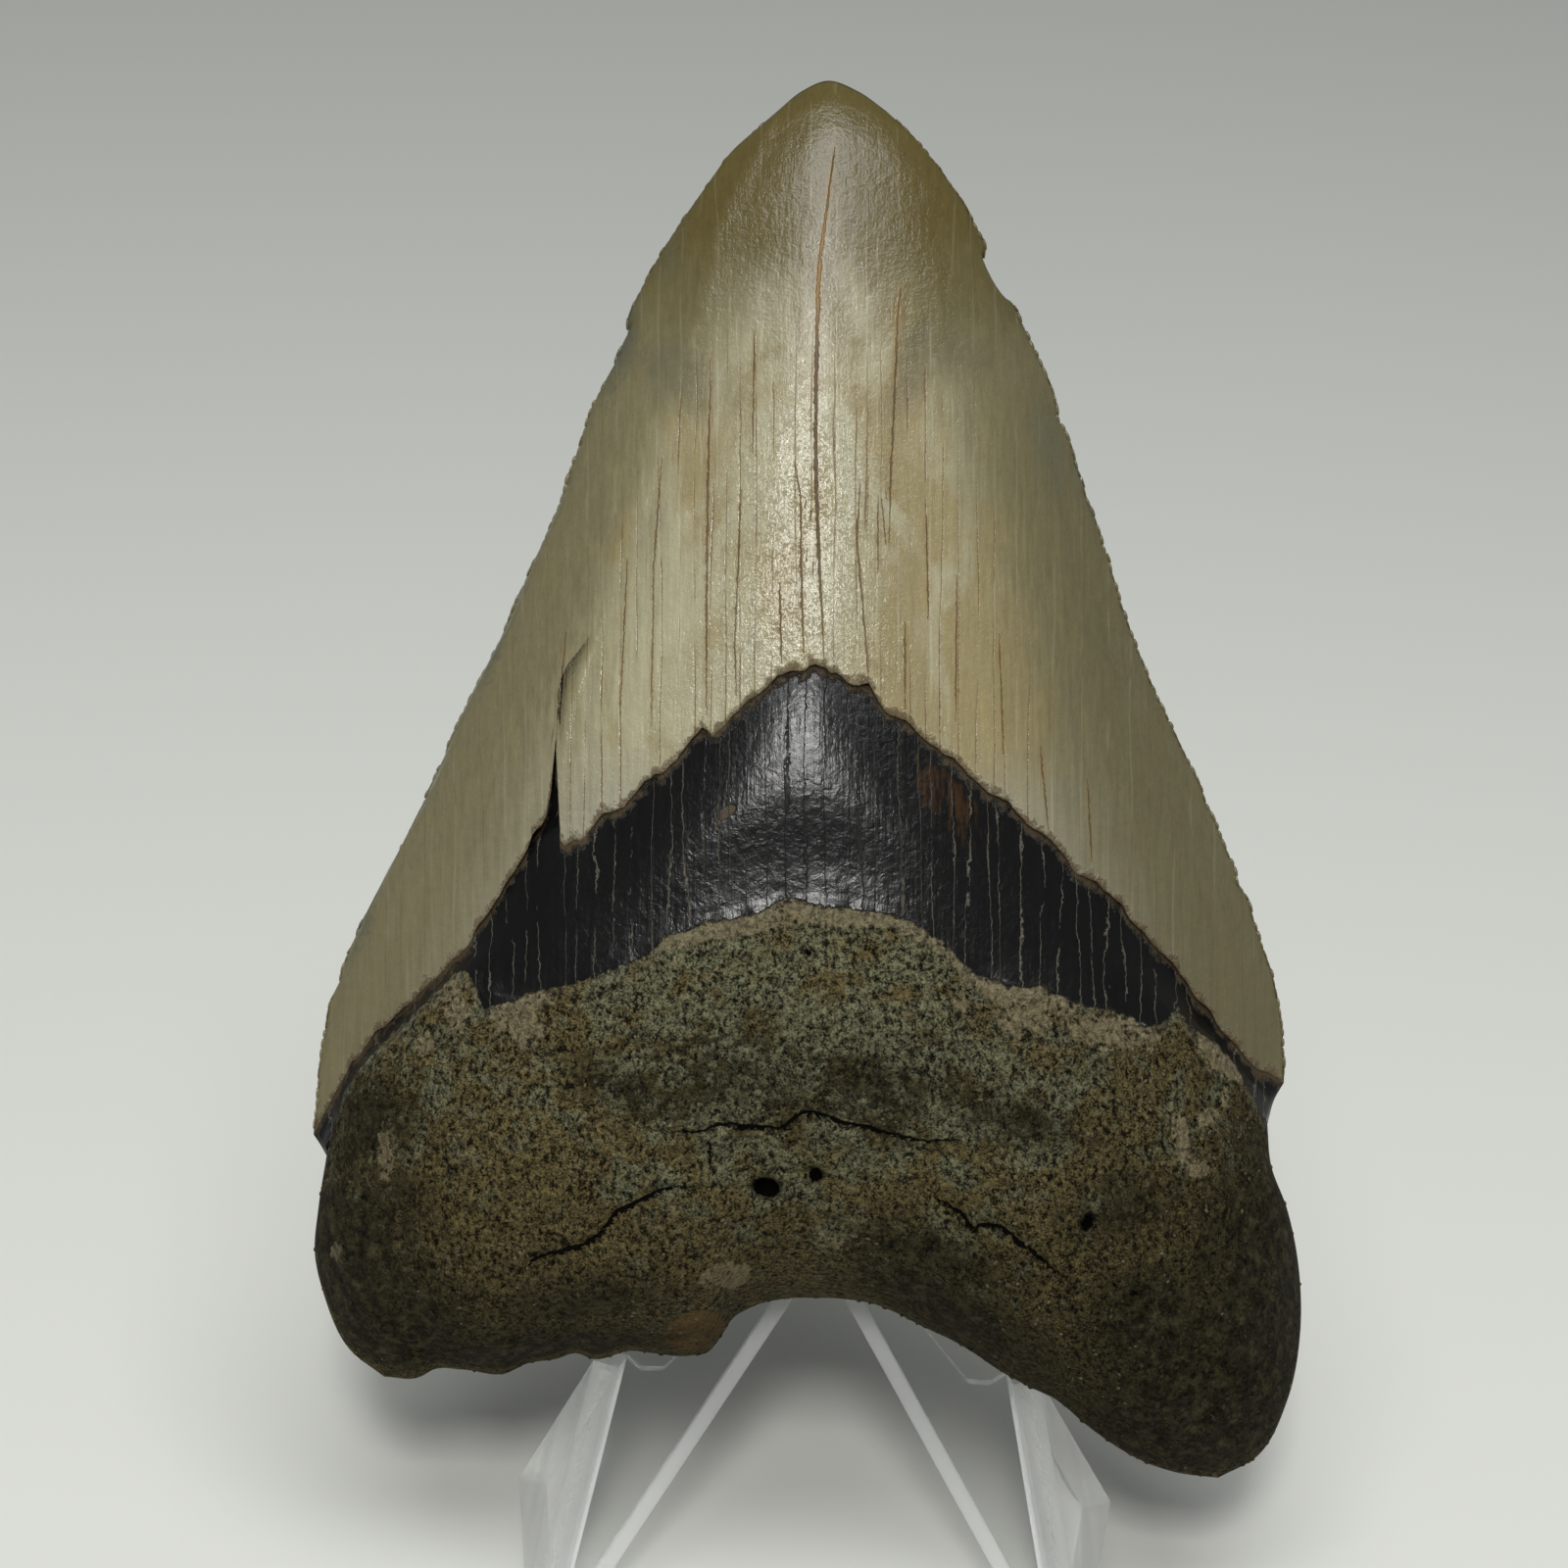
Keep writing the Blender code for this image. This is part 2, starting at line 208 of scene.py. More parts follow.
@dataclass(frozen=True)
class Line:
    """A line over the tooth as it looks from the front, through points (x, d)."""

    points: tuple[Point, ...]

    def _array(self) -> np.ndarray:
        """The points as rows."""
        return np.asarray(self.points, float)

    def along(self, share: np.ndarray) -> np.ndarray:
        """The points at these shares of the line's length."""
        points = self._array()
        lengths = np.linalg.norm(np.diff(points, axis=0), axis=1)
        knots = np.concatenate([[0.0], np.cumsum(lengths)])
        at = np.asarray(share, float) * knots[-1]
        return np.stack([smooth(knots, points[:, i], at) for i in (0, 1)], axis=-1)

    def height(self, x: np.ndarray) -> np.ndarray:
        """How far up the slope the line is at each x."""
        points = self._array()
        return np.interp(x, points[:, 0], points[:, 1])

    def across(self, share: np.ndarray) -> np.ndarray:
        """The points at these shares of the line's width, from left to right."""
        points = self._array()
        x = points[0, 0] + np.asarray(share, float) * (points[-1, 0] - points[0, 0])
        return np.stack([x, smooth(points[:, 0], points[:, 1], x)], axis=-1)


@dataclass(frozen=True)
class Crack:
    """A crack, through points (x, d), thin at both ends; one point alone is a hole."""

    points: tuple[Point, ...]
    width: float
    depth: float = 0.3


@dataclass(frozen=True)
class Blot:
    """A stained or crusted patch as it looks from the front.

    Its centre and radii are in millimetres, and its turn is anticlockwise in degrees.
    """

    x: float
    d: float
    across: float
    up: float
    turn: float = 0.0
    strength: float = 1.0

    def field(self, x: np.ndarray, d: np.ndarray) -> np.ndarray:
        """The patch's strength at each place: 1 in the middle, 0 at its rim, then below 0."""
        turn = math.radians(self.turn)
        dx, dd = x - self.x, d - self.d
        along = (dx * math.cos(turn) + dd * math.sin(turn)) / self.across
        upward = (dd * math.cos(turn) - dx * math.sin(turn)) / self.up
        return self.strength * np.clip(1 - np.hypot(along, upward), -1.0, 1.0)


@dataclass(frozen=True)
class Bite:
    """A chip out of a cutting edge."""

    on_right: bool
    d: float
    depth: float
    length: float


class Side(Enum):
    """The two faces of the tooth."""

    FRONT = 1
    BACK = -1


@dataclass(frozen=True)
class Section:
    """How a face of the tooth bulges.

    The depths are those of the tooth's middle at the levels. The roundness is given as power and
    fullness: of the crown, what the root adds to it, and of the root's lower rim.
    """

    levels: tuple[float, ...]
    depths: tuple[float, ...]
    crown: Point
    root: Point
    rim: Point


@dataclass
class ToothForm:
    """The tooth's outline, its borders and how thick it is.

    Level 0 is the tip, 1 the enamel's border, 2 the root's border and 3 the root's lower rim. A
    share u runs from 0 at the left to 1 at the right.
    """

    plane: LeaningPlane = field(default_factory=LeaningPlane)
    tip: Line = Line(((-2.6, 130.1), (-0.4, 131.9), (1.8, 132.8), (4.4, 131.9), (6.7, 130.3)))
    left_crown: Line = Line((
        (-2.6, 130.1), (-4.9, 128.1), (-7.0, 126.2), (-9.2, 123.2), (-12.5, 118.3), (-15.0, 113.8),
        (-16.6, 108.8), (-18.2, 105.8), (-20.9, 98.0), (-23.8, 91.3), (-26.8, 84.3), (-30.4, 77.2),
        (-32.9, 71.3), (-37.6, 62.3), (-39.9, 57.0), (-41.6, 50.0), (-41.9, 43.2),
    ))
    right_crown: Line = Line((
        (6.7, 130.3), (9.7, 127.7), (12.6, 124.1), (14.6, 120.8), (16.3, 116.9), (18.2, 113.2),
        (20.5, 108.3), (22.8, 101.5), (24.6, 96.3), (27.6, 86.8), (29.9, 81.0), (31.2, 78.5),
        (34.7, 70.5), (37.9, 62.8), (40.0, 56.3), (40.8, 50.5), (40.6, 47.6),
    ))
    left_neck: Line = Line(((-41.9, 43.2), (-41.3, 42.3), (-40.8, 41.4)))
    right_neck: Line = Line(((40.6, 47.6), (39.8, 46.2), (39.2, 44.1)))
    left_root: Line = Line((
        (-40.8, 41.4), (-41.5, 36.9), (-41.8, 33.1), (-41.0, 29.5), (-38.9, 25.0), (-35.9, 22.6),
    ))
    right_root: Line = Line((
        (39.2, 44.1), (39.5, 40.7), (40.9, 36.8), (41.9, 31.6), (42.0, 26.4), (40.9, 20.6),
        (38.4, 15.9), (35.0, 14.0),
    ))
    enamel_border: Line = Line((
        (-41.9, 43.2), (-38.7, 49.3), (-34.7, 53.6), (-27.3, 61.8), (-23.0, 67.4), (-17.4, 70.2),
        (-10.2, 76.2), (-2.1, 82.3), (0.8, 82.9), (3.7, 81.5), (10.7, 76.3), (20.6, 68.6),
        (29.3, 59.7), (36.8, 50.3), (40.6, 47.6),
    ))
    root_border: Line = Line((
        (-40.8, 41.4), (-38.6, 46.8), (-34.0, 51.6), (-28.4, 55.3), (-24.9, 54.7), (-16.0, 57.4),
        (-8.5, 61.2), (-1.0, 63.0), (6.4, 62.0), (10.7, 60.3), (14.6, 56.9), (21.7, 55.0),
        (28.8, 52.6), (32.9, 52.0), (36.6, 48.2), (39.2, 44.1),
    ))
    enamel_edge: Line = Line((
        (-41.9, 43.2), (-41.5, 44.0), (-39.3, 48.0), (-38.7, 49.3), (-36.2, 52.1), (-34.7, 53.6),
        (-31.7, 56.3), (-30.4, 57.8), (-28.9, 59.0), (-27.2, 61.8), (-25.8, 64.0), (-25.3, 65.2),
        (-23.8, 67.2), (-23.2, 68.7), (-22.2, 69.9), (-21.8, 71.6), (-21.35, 77.0), (-21.15, 74.0),
        (-21.0, 68.3), (-20.6, 67.7), (-19.2, 68.4), (-17.4, 70.2), (-15.3, 71.4), (-13.8, 73.2),
        (-12.1, 74.0), (-10.2, 76.2), (-9.2, 77.6), (-8.7, 77.9), (-8.0, 77.0), (-6.3, 78.8), (-5.1, 79.8),
        (-3.8, 81.1), (-2.1, 82.3), (-0.8, 83.0), (0.2, 82.8), (1.3, 83.1), (2.6, 82.6),
        (3.7, 81.5), (5.3, 81.4), (6.2, 80.0), (6.8, 79.2), (8.8, 78.1), (10.7, 76.3),
        (12.8, 74.9), (14.9, 72.8), (17.0, 71.5), (19.1, 69.4), (20.6, 68.6), (22.5, 66.0),
        (24.6, 64.6), (26.8, 62.8), (29.2, 59.7), (31.4, 57.5), (32.7, 55.2), (34.2, 53.9),
        (35.4, 52.2), (36.8, 50.3), (38.0, 49.0), (40.6, 47.6),
    ))
    root_edge: Line = Line((
        (-40.8, 41.4), (-39.3, 46.9), (-38.2, 48.8), (-35.5, 51.5), (-34.0, 52.9), (-31.2, 55.7),
        (-29.8, 57.0), (-28.8, 57.2), (-28.1, 55.5), (-27.4, 53.8), (-26.6, 54.2), (-24.9, 54.7),
        (-22.3, 55.5), (-20.7, 55.9), (-18.1, 56.6), (-16.0, 57.4), (-13.4, 58.5), (-12.1, 60.0),
        (-10.4, 60.4), (-8.5, 61.2), (-5.9, 61.5), (-3.8, 62.2), (-2.5, 62.8), (-1.7, 63.4),
        (-0.6, 62.9), (1.1, 62.6), (4.2, 62.3), (6.4, 62.0), (9.0, 61.2), (10.7, 60.2),
        (12.3, 58.8), (13.8, 57.2), (15.3, 56.4), (17.8, 55.7), (20.3, 55.8), (21.7, 55.0),
        (23.3, 54.3), (25.5, 53.9), (27.6, 53.2), (28.8, 52.2), (30.3, 52.8), (31.6, 53.9),
        (32.9, 52.2), (35.0, 50.8), (36.8, 48.6), (39.2, 44.1),
    ))
    root_bottom: Line = Line((
        (-35.9, 22.6), (-32.8, 22.6), (-31.7, 23.2), (-29.2, 23.2), (-25.5, 22.9), (-23.8, 23.7),
        (-21.3, 24.1), (-19.6, 24.6), (-18.1, 24.1), (-14.9, 24.8), (-13.0, 24.6), (-9.8, 24.4),
        (-8.1, 24.9), (-7.2, 26.1), (-6.4, 27.4), (-5.1, 28.3), (-2.1, 29.2), (0.5, 29.3),
        (3.3, 29.2), (6.0, 28.7), (8.1, 27.8), (9.8, 26.9), (12.2, 25.8), (14.1, 24.7),
        (16.0, 23.4), (18.8, 21.8), (21.3, 20.6), (23.8, 18.5), (26.3, 16.7), (28.2, 15.6),
        (31.3, 14.5), (35.0, 14.0),
    ))
    back_enamel_border: Line = Line((
        (-41.9, 43.2), (-30.0, 50.5), (-22.0, 54.5), (-14.0, 57.5), (-6.0, 59.1), (0.0, 59.5),
        (6.0, 59.1), (14.0, 57.5), (22.0, 55.0), (29.0, 52.0), (40.6, 47.6),
    ))
    back_root_border: Line = Line((
        (-40.8, 41.4), (-30.0, 47.8), (-22.0, 51.5), (-14.0, 54.5), (-6.0, 56.1), (0.0, 56.5),
        (6.0, 56.1), (14.0, 54.5), (22.0, 52.3), (29.0, 49.2), (39.2, 44.1),
    ))
    front: Section = Section(
        (0, 0.12, 0.35, 0.7, 1, 1.5, 1.9, 2.0, 2.1, 2.25, 2.5, 3),
        (0, 2.3, 5.2, 8.6, 10.6, 12.45, 12.85, 13.1, 14.0, 15.2, 16.4, 16.4),
        (2.0, 1.0), (1.2, -0.42), (3.4, 0.58),
    )
    back: Section = Section(
        (0, 0.25, 1, 2, 2.4, 3), (0, -2.2, -4.6, -5.8, -7.3, -7.3),
        (2.0, 1.0), (3.0, -0.45), (6.0, 0.6),
    )
    rim_at: tuple[float, ...] = (0.0, 0.3, 0.5, 0.72, 1.0)
    rim_setback: tuple[float, ...] = (4.2, 7.1, 6.2, 3.2, 4.0)
    root_blend: float = 1.2
    rim_blend: float = 1.6
    crumbs: float = 0.55
    crumb_size: float = 1.5
    ledge: float = 0.45
    bites: tuple[Bite, ...] = (
        Bite(True, 116.6, 1.1, 1.5), Bite(True, 114.8, 0.5, 0.8), Bite(False, 65.7, 1.9, 1.1),
        Bite(False, 63.9, 0.9, 0.9), Bite(False, 75.2, 0.55, 0.5), Bite(False, 55.9, 0.5, 0.6),
        Bite(False, 59.7, 0.35, 0.5), Bite(False, 111.2, 0.4, 0.6), Bite(False, 108.3, 0.35, 0.5),
        Bite(True, 104.0, 0.3, 0.5), Bite(True, 64.5, 0.35, 0.5),
    )
    bite_reach: float = 0.055
    bite_inward: float = 0.92
    bite_down: float = 0.3
    wear: tuple[Point, ...] = ((0.16, 0.9), (0.15, 4.0))

    def section(self, side: Side) -> Section:
        """How that face bulges."""
        return self.front if side is Side.FRONT else self.back

    def shares(self, columns: int) -> np.ndarray:
        """Shares of the width for the columns, closer together at both edges."""
        evenly = np.linspace(0, 1, columns + 1)
        return 0.45 * evenly + 0.55 * (0.5 - 0.5 * np.cos(math.pi * evenly))

    def _patch(self, top: np.ndarray, bottom: np.ndarray, left: Line, right: Line,
               u: np.ndarray, t: np.ndarray) -> np.ndarray:
        """Points between two borders, kept to the outline at both ends.

        Args:
            top: Points of the upper border, one a column.
            bottom: Points of the lower border, one a column.
            left: The outline at the left end.
            right: The outline at the right end.
            u: Share of the width of each column.
            t: Share of the way down of each row.

        Returns:
            A grid of points (x, d).
        """
        down = t[:, None, None]
        grid = top[None] + (bottom - top)[None] * down
        for side, end, weight in ((left, 0, 1 - u), (right, -1, u)):
            straight = top[end] + (bottom[end] - top[end]) * t[:, None]
            grid = grid + weight[None, :, None] * (side.along(t) - straight)[:, None]
        return grid

    def outline(self, u: np.ndarray, levels: np.ndarray, side: Side) -> np.ndarray:
        """Where a grid of the tooth looks to lie from the front.

        Args:
            u: Share of the width of each column.
            levels: Level of each row.
            side: Which face.

        Returns:
            A grid of points (x, d).
        """
        is_front = side is Side.FRONT
        enamel = (self.enamel_border if is_front else self.back_enamel_border).across(u)
        root = (self.root_border if is_front else self.back_root_border).across(u)
        zones = (
            (self.tip.along(u), enamel, self.left_crown, self.right_crown),
            (enamel, root, self.left_neck, self.right_neck),
            (root, self.root_bottom.across(u), self.left_root, self.right_root),
        )
        zone_of = np.minimum(levels.astype(int), 2)
        grid = np.empty((len(levels), len(u), 2))
        for zone, borders in enumerate(zones):
            rows = zone_of == zone
            grid[rows] = self._patch(*borders, u, levels[rows] - zone)
        return self._chipped(grid, u, levels)

    def _chipped(self, grid: np.ndarray, u: np.ndarray, levels: np.ndarray) -> np.ndarray:
        """Moves the cutting edges in where they are chipped.

        Args:
            grid: Points (x, d) by row and column.
            u: Share of the width of each column.
            levels: Level of each row.

        Returns:
            The grid with its chips.
        """
        for end, share, inward in ((0, u, 1.0), (-1, 1 - u, -1.0)):
            d = grid[:, end, 1]
            row = np.stack([d, np.full_like(d, 7.0 * inward), np.zeros_like(d)], axis=-1)
            depth = sum(deep * (1 + lumps(row, long, 2)) for deep, long in self.wear)
            for bite in self.bites:
                if bite.on_right == (end == -1):
                    slope = (d - bite.d) / bite.length
                    depth += bite.depth * np.exp(-np.abs(slope) ** 3)
            depth *= ease(levels / 0.06) * ease((1.0 - levels) / 0.03)
            near = np.clip(1 - share / self.bite_reach, 0, 1) ** 2
            grid[..., 0] += inward * depth[:, None] * near[None, :] * self.bite_inward
            grid[..., 1] -= depth[:, None] * near[None, :] * self.bite_down
        return grid

    def broken(self, x: np.ndarray) -> np.ndarray:
        """Height of the enamel's broken edge on the front, with its crumbs."""
        place = np.stack([x, np.zeros_like(x), np.zeros_like(x)], axis=-1)
        return self.enamel_edge.height(x) + self.crumbs * lumps(place, self.crumb_size, 2)

    def depth(self, u: np.ndarray, levels: np.ndarray, side: Side, ledge: float) -> np.ndarray:
        """Depth of a face from the cutting edges' plane.

        Args:
            u: Share of the width of each column.
            levels: Level of each row, or of each point.
            side: Which face.
            ledge: How far the enamel stands proud of what lies under it.

        Returns:
            The depth by row and column.
        """
        section = self.section(side)
        out = np.abs(2 * u - 1)[None]
        level = levels if levels.ndim == 2 else levels[:, None]
        in_root = ease((level - 1) / self.root_blend)
        rim = -ease(level - self.rim_blend) * smooth(self.rim_at, self.rim_setback, u)[None]
        down = np.maximum(level - 2, 0)
        power = section.crown[0] + section.root[0] * in_root
        profile = (1 - out**power) ** (section.crown[1] + section.root[1] * in_root)
        profile = profile * (1 - down ** section.rim[0]) ** section.rim[1]
        middle = smooth(section.levels, section.depths, level)
        raised = ledge * np.minimum(1, 6 * (1 - out)) * np.minimum(1, 4 * level)
        return rim * (1 - profile) + middle * profile + side.value * raised

    def grid(self, u: np.ndarray, levels: np.ndarray, side: Side, ledge: float) -> np.ndarray:
        """A face of the tooth as rows and columns of x, d and depth."""
        flat = self.outline(u, levels, side)
        depth = self.depth(u, levels, side, ledge)
        return np.concatenate([flat, depth[..., None]], axis=-1)


@dataclass
class Survey:
    """Marks the tooth's meshes with what their finishes need to know.

    It stores how each point looks to lie from the front, how far it is from the cutting edges and
    below the borders, the nearest crack, and the stains.
    """

    form: ToothForm
    cracks: tuple[Crack, ...]
    stains: tuple[tuple[Blot, ...], tuple[Blot, ...], tuple[Blot, ...]]
    near: float = 0.32
    wrap: float = 5.0
    wrap_fade: float = 4.0

    def nearest(self, x: np.ndarray, d: np.ndarray) -> tuple[np.ndarray, np.ndarray, np.ndarray]:
        """The nearest crack to each place.

        Args:
            x: Places from left to right.
            d: Places up the slope.

        Returns:
            Signed distance from its middle line, its half width there, and its depth.
        """
        best = np.full(x.shape, 99.0)
        signed, half, depth = best.copy(), np.zeros(x.shape), np.zeros(x.shape)
        for crack in self.cracks:
            points = np.asarray(crack.points, float)
            if len(points) == 1:
                points = np.vstack([points, points + (0.0, 0.01)])
            lengths = np.linalg.norm(np.diff(points, axis=0), axis=1)
            starts = np.concatenate([[0.0], np.cumsum(lengths)])
            for i, length in enumerate(lengths):
                way = (points[i + 1] - points[i]) / length
                dx, dd = x - points[i, 0], d - points[i, 1]
                past = np.clip(dx * way[0] + dd * way[1], 0, length)
                far = np.hypot(dx - past * way[0], dd - past * way[1])
                share = (starts[i] + past) / starts[-1]
                taper = 1.0 if len(crack.points) == 1 else np.clip(4 * np.minimum(share, 1 - share), 0, 1)
                width = crack.width / 2 * taper
                closer = far - width < best
                best = np.where(closer, far - width, best)
                sign = 1.0 if len(crack.points) == 1 else np.where(dd * way[0] < dx * way[1], -1.0, 1.0)
                signed = np.where(closer, far * sign, signed)
                half = np.where(closer, width, half)
                depth = np.where(closer, crack.depth, depth)
        return signed, half, depth

    def edge_distance(self, x: np.ndarray, d: np.ndarray) -> np.ndarray:
        """How far each place is from the nearer cutting edge."""
        best = np.full(x.shape, 99.0)
        share = np.linspace(0, 1, 40)
        for line in (self.form.left_crown, self.form.right_crown, self.form.tip):
            points = line.along(share)
            for start, end in zip(points[:-1], points[1:]):
                way = (end - start) / np.linalg.norm(end - start)
                dx, dd = x - start[0], d - start[1]
                past = np.clip(dx * way[0] + dd * way[1], 0, np.linalg.norm(end - start))
                best = np.minimum(best, np.hypot(dx - past * way[0], dd - past * way[1]))
        return best

    def mark(self, obj: bpy.types.Object) -> None:
        """Stores the survey on a mesh of the tooth."""
        mesh = obj.data
        flat = np.empty(len(mesh.vertices) * 3)
        mesh.vertices.foreach_get("co", flat)
        seen = self.form.plane.seen(flat.reshape(-1, 3))
        x, d, f = seen.T
        front = f > self.form.depth(np.array([0.5]), np.array([1.0]), Side.BACK, 0.0)[0, 0] * 0.2
        facing = ease((f + self.wrap) / self.wrap_fade)
        enamel = np.where(front, self.form.broken(x), self.form.back_enamel_border.height(x))
        root = np.where(front, self.form.root_edge.height(x), self.form.back_root_border.height(x))
        signed, half, _ = self.nearest(x, d)
        close = np.where(front, ease((self.near - np.abs(signed) + half) / 0.1), 0.0) * (half > 0.015)
        values = {
            "seen": seen,
            "zones": np.stack([self.edge_distance(x, d), enamel - d, root - d], axis=-1),
            "cracks": np.stack([np.clip(signed, -3, 3), half, close], axis=-1),
            "stains": np.stack([self._stain(blots, x, d, facing) for blots in self.stains], axis=-1),
        }
        for name, rows in values.items():
            if name in mesh.attributes:
                mesh.attributes.remove(mesh.attributes[name])
            layer = mesh.attributes.new(name, "FLOAT_VECTOR", "POINT")
            layer.data.foreach_set("vector", rows.astype(np.float32).ravel())

    def body(self, name: str, front: np.ndarray, back: np.ndarray,
             faces: list[tuple[int, ...]]) -> bpy.types.Object:
        """Makes a surveyed piece of the tooth.

        Args:
            name: The piece's name.
            front: Its front, as rows and columns of x, d and depth.
            back: Its back, likewise.
            faces: Corner numbers of each face.

        Returns:
            The piece.
        """
        seen = np.concatenate([front.reshape(-1, 3), back.reshape(-1, 3)])
        piece = mesh_object(name, self.form.plane.tooth(seen), faces)
        self.mark(piece)
        return piece

    @staticmethod
    def _stain(blots: tuple[Blot, ...], x: np.ndarray, d: np.ndarray, facing: np.ndarray) -> np.ndarray:
        """The strongest of some patches at each place, fading round the sides to the back."""
        strongest = np.full(x.shape, -1.0)
        for blot in blots:
            strongest = np.maximum(strongest, blot.field(x, d))
        return strongest * facing - (1 - facing)


def linked(name: str, data: bpy.types.ID) -> bpy.types.Object:
    """A new object of the scene that shows this data."""
    obj = bpy.data.objects.new(name, data)
    bpy.context.scene.collection.objects.link(obj)
    return obj


def evaluated_mesh(obj: bpy.types.Object) -> bpy.types.Mesh:
    """The object's mesh with its modifiers applied."""
    graph = bpy.context.evaluated_depsgraph_get()
    return bpy.data.meshes.new_from_object(obj.evaluated_get(graph), depsgraph=graph)


def write_back(bm: bmesh.types.BMesh, mesh: bpy.types.Mesh, name: str) -> None:
    """Ends the edit of a piece's mesh with its faces turned outwards, and reports it."""
    bmesh.ops.recalc_face_normals(bm, faces=bm.faces)
    open_edges = sum(1 for edge in bm.edges if len(edge.link_faces) != 2)
    bm.to_mesh(mesh)
    bm.free()
    LOG.info("%s: %d faces, %d open edges", name, len(mesh.polygons), open_edges)


def mesh_object(name: str, points: np.ndarray, faces: list[tuple[int, ...]]) -> bpy.types.Object:
    """Makes a piece of points and faces, merged where they meet.

    Args:
        name: The piece's name.
        points: Rows of world coordinates in metres.
        faces: Corner numbers of each face.

    Returns:
        The piece, linked to the scene, with its faces turned outwards.
    """
    mesh = bpy.data.meshes.new(name)
    mesh.from_pydata([tuple(point) for point in points], [], faces)
    bm = bmesh.new()
    bm.from_mesh(mesh)
    bmesh.ops.remove_doubles(bm, verts=bm.verts, dist=MERGE)
    bmesh.ops.dissolve_degenerate(bm, dist=MERGE / 4, edges=bm.edges)
    write_back(bm, mesh, name)
    mesh.shade_smooth()
    return linked(name, mesh)


def skin(front: np.ndarray, back: np.ndarray, cap_top: bool, cap_bottom: bool) -> list[tuple[int, ...]]:
    """Faces of a body whose front and back are grids with the same columns and rows.

    Args:
        front: The front's grid of points.
        back: The back's grid of points.
        cap_top: Whether the first rows are joined by a strip.
        cap_bottom: Whether the last rows are joined by a strip.

    Returns:
        Corner numbers of each face, the back's points after the front's.
    """
    rows, columns = front.shape[:2]
    faces = []
    for start, turned in ((0, False), (rows * columns, True)):
        for row in range(rows - 1):
            for column in range(columns - 1):
                corner = start + row * columns + column
                quad = (corner, corner + columns, corner + columns + 1, corner + 1)
                faces.append(quad[::-1] if turned else quad)
    behind = rows * columns
    for wanted, row, turned in ((cap_top, 0, True), (cap_bottom, rows - 1, False)):
        if wanted:
            for column in range(columns - 1):
                corner = row * columns + column
                quad = (corner, corner + behind, corner + behind + 1, corner + 1)
                faces.append(quad[::-1] if turned else quad)
    return faces


class Bench:
    """Builds a node tree: every node comes from node()."""

    def __init__(self, tree: bpy.types.NodeTree) -> None:
        """Takes the tree to fill."""
        self.tree = tree

    def node(self, kind: str, settings: dict | None = None,
             inputs: dict[int | str, object] | None = None) -> bpy.types.Node:
        """Adds a node.

        Args:
            kind: The node's type.
            settings: Its settings, which are set first.
            inputs: Values or links of its sockets, by name or number.

        Returns:
            The node.
        """
        made = self.tree.nodes.new(kind)
        for name, setting in (settings or {}).items():
            setattr(made, name, setting)
        for name, wanted in (inputs or {}).items():
            self.feed(made.inputs[name], wanted)
        return made

    def feed(self, socket: bpy.types.NodeSocket, wanted: object) -> None:
        """Links a socket to another one, or sets its value."""
        if isinstance(wanted, Value):
            wanted = wanted.socket
        if isinstance(wanted, bpy.types.NodeSocket):
            self.tree.links.new(wanted, socket)
        elif socket.type == "RGBA":
            socket.default_value = (*wanted, 1.0)
        else:
            socket.default_value = wanted

    def value(self, kind: str, settings: dict | None = None,
              inputs: dict[int | str, object] | None = None, output: int | str = 0) -> "Value":
        """Adds a node and gives one of its outputs as a number."""
        return Value(self, self.node(kind, settings, inputs).outputs[output])


class Value:
    """A number that varies over a surface. Each operator adds a Math node."""

    def __init__(self, bench: Bench, socket: bpy.types.NodeSocket) -> None:
        """Wraps an output socket of a tree."""
        self.bench = bench
        self.socket = socket

    def _maths(self, operation: str, *terms: object) -> "Value":
        """Adds a Math node on the terms."""
        return self.bench.value("ShaderNodeMath", {"operation": operation}, dict(enumerate(terms)))

    def __add__(self, other: object) -> "Value":
        """self + other"""
        return self._maths("ADD", self, other)

    def __radd__(self, other: object) -> "Value":
        """other + self"""
        return self._maths("ADD", other, self)

    def __sub__(self, other: object) -> "Value":
        """self - other"""
        return self._maths("SUBTRACT", self, other)

    def __rsub__(self, other: object) -> "Value":
        """other - self"""
        return self._maths("SUBTRACT", other, self)

    def __mul__(self, other: object) -> "Value":
        """self * other"""
        return self._maths("MULTIPLY", self, other)

    def __rmul__(self, other: object) -> "Value":
        """other * self"""
        return self._maths("MULTIPLY", other, self)

    def __truediv__(self, other: object) -> "Value":
        """self / other"""
        return self._maths("DIVIDE", self, other)

    def __abs__(self) -> "Value":
        """abs(self)"""
        return self._maths("ABSOLUTE", self)

    def most(self, other: object) -> "Value":
        """The larger of the two."""
        return self._maths("MAXIMUM", self, other)

    def least(self, other: object) -> "Value":
        """The smaller of the two."""
        return self._maths("MINIMUM", self, other)

    def rise(self, low: float, high: float) -> "Value":
        """Goes smoothly from 0 to 1 while the number goes from low to high.

        Args:
            low: Where it is still 0; larger than high to fall instead of rise.
            high: Where it reaches 1.

        Returns:
            The mask.
        """
        turned = low > high
        inputs = {"Value": self, 1: min(low, high), 2: max(low, high)}
        if turned:
            inputs.update({3: 1.0, 4: 0.0})
        return self.bench.value("ShaderNodeMapRange", {"interpolation_type": "SMOOTHSTEP"}, inputs)


